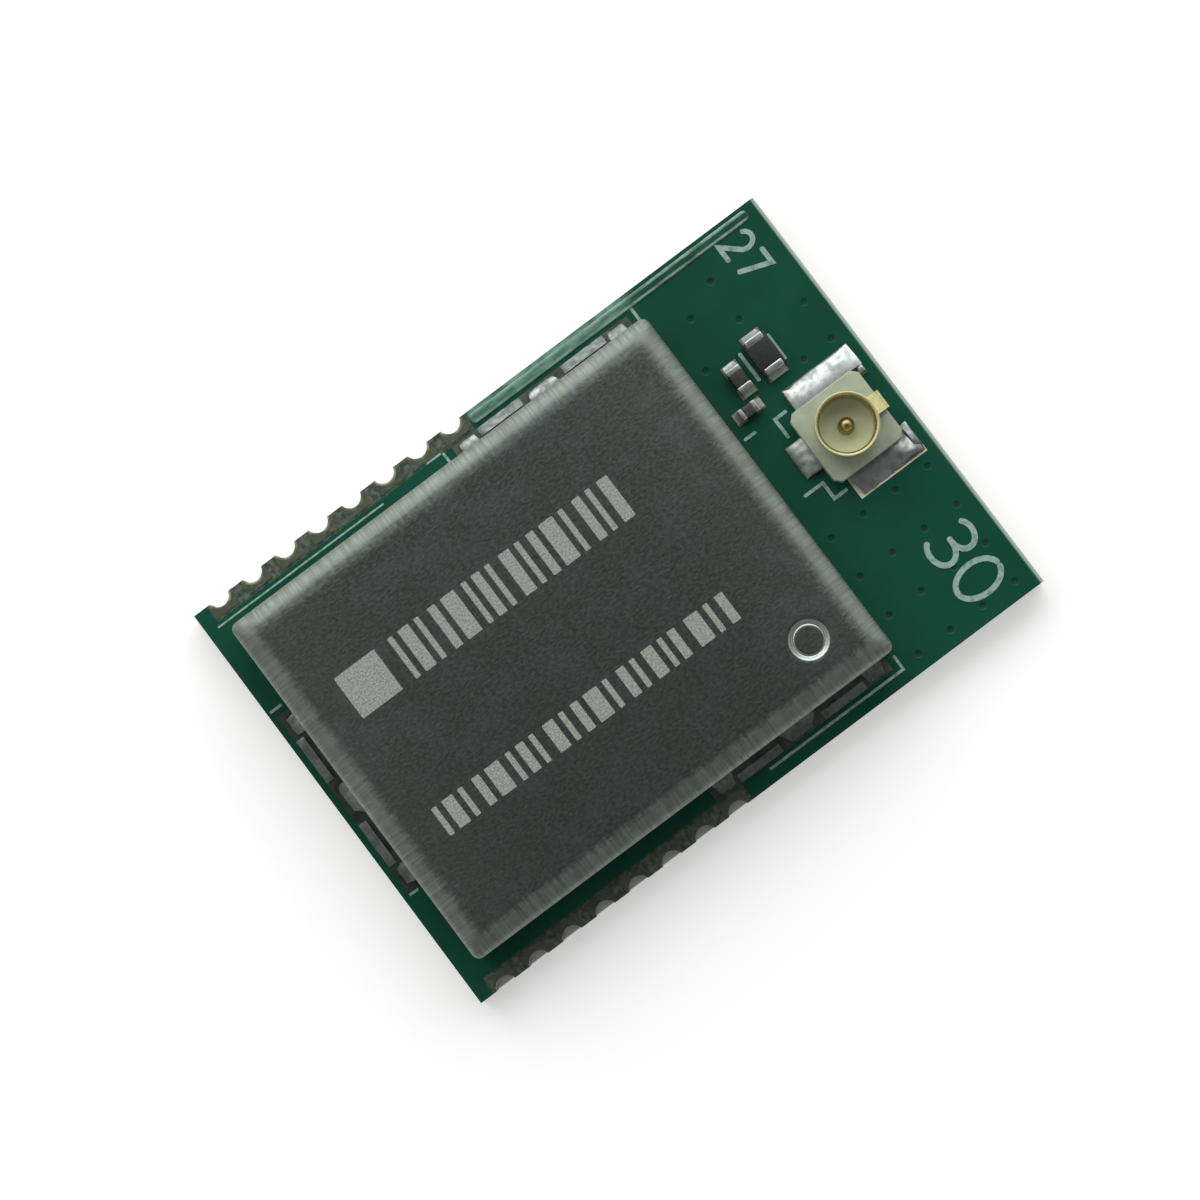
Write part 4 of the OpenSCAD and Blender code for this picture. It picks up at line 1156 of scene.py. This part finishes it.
white, tree, shader, place = start_finish(
    "white_table", Base_Color=TABLE_WHITE, Roughness=0.9, Specular_IOR_Level=0.1
)
split = wire(tree, "ShaderNodeSeparateXYZ", {0: place}).node
off_x = calc(tree, "ABSOLUTE", split.outputs["X"])
covered = calc(
    tree,
    "MULTIPLY",
    rise(tree, off_x, board_high.x, board_high.x - SHADE_EDGE),
    rise(tree, split.outputs["Y"], board_low.y, board_low.y + SHADE_EDGE),
)
covered = calc(tree, "MULTIPLY", covered, rise(tree, split.outputs["Y"], SHADE_EDGE, -SHADE_EDGE))
rays = tree.nodes.new("ShaderNodeLightPath")
seen = calc(tree, "MAXIMUM", rays.outputs["Is Camera Ray"], rays.outputs["Is Glossy Ray"])
seen = calc(tree, "MAXIMUM", seen, rays.outputs["Is Transmission Ray"])
seen = calc(tree, "MULTIPLY", seen, calc(tree, "SUBTRACT", 1.0, covered))
glow = wire(tree, "ShaderNodeEmission", {"Strength": calc(tree, "MULTIPLY", seen, TABLE_GLOW)})
whole = wire(tree, "ShaderNodeAddShader", {0: shader.outputs["BSDF"], 1: glow})
tree.links.new(whole, tree.nodes["Material Output"].inputs["Surface"])
bm = bmesh.new()
bmesh.ops.create_grid(bm, x_segments=1, y_segments=1, size=FLOOR_HALF)
bmesh.ops.translate(bm, vec=(0, 0, -FLOOR_GAP), verts=bm.verts)
mesh = bpy.data.meshes.new("table")
bm.to_mesh(mesh)
bm.free()
mesh.materials.append(white)
table = bpy.data.objects.new("table", mesh)
scene.collection.objects.link(table)

world = bpy.data.worlds.new("soft_surround")
scene.world = world
world.use_nodes = True
tree = world.node_tree
way = wire(tree, "ShaderNodeTexCoord", {}, output="Generated")
height = wire(tree, "ShaderNodeSeparateXYZ", {0: way}, output=2)
toward = wire(tree, "ShaderNodeVectorMath", {0: way, 1: KEY_WAY}, output="Value", operation="DOT_PRODUCT")
low_light = rise(tree, height, *LOW_BAND)
side_light = rise(tree, toward, *LOW_SIDES)
sky = calc(tree, "MULTIPLY", rise(tree, height, *SKY_TOP), rise(tree, height, *SKY_FOOT))
sky = calc(tree, "MULTIPLY", sky, rise(tree, toward, *SKY_SIDES))
low_light = calc(tree, "MULTIPLY", low_light, side_light)
level = calc(tree, "ADD", SURROUND, calc(tree, "MAXIMUM", sky, low_light))
tree.links.new(level, tree.nodes["Background"].inputs["Strength"])
tree.nodes["Background"].inputs["Color"].default_value = (1.0, 1.0, 1.0, 1.0)

lamp = bpy.data.lights.new("soft_box", "AREA")
lamp.shape = "RECTANGLE"
lamp.size = KEY_WIDE
lamp.size_y = KEY_TALL
lamp.energy = KEY_POWER
soft_box = bpy.data.objects.new("soft_box", lamp)
soft_box.location = KEY_WAY * KEY_OUT + Vector((0, 0, KEY_UP))
soft_box.rotation_euler = (-soft_box.location).to_track_quat("-Z", "Y").to_euler()
scene.collection.objects.link(soft_box)

lens = bpy.data.cameras.new("camera")
lens.lens = CAMERA_LENS
lens.sensor_width = 36.0
lens.clip_start = 0.001
camera = bpy.data.objects.new("camera", lens)
back = (CAMERA_AT - CAMERA_AIM).normalized()
right = Vector((math.cos(CAMERA_TURN), -math.sin(CAMERA_TURN), 0))
right = (right - back * right.dot(back)).normalized()
up = back.cross(right)
turn = Matrix((right, up, back)).transposed().to_4x4()
camera.matrix_world = Matrix.Translation(CAMERA_AT * MM) @ turn
scene.collection.objects.link(camera)
scene.camera = camera
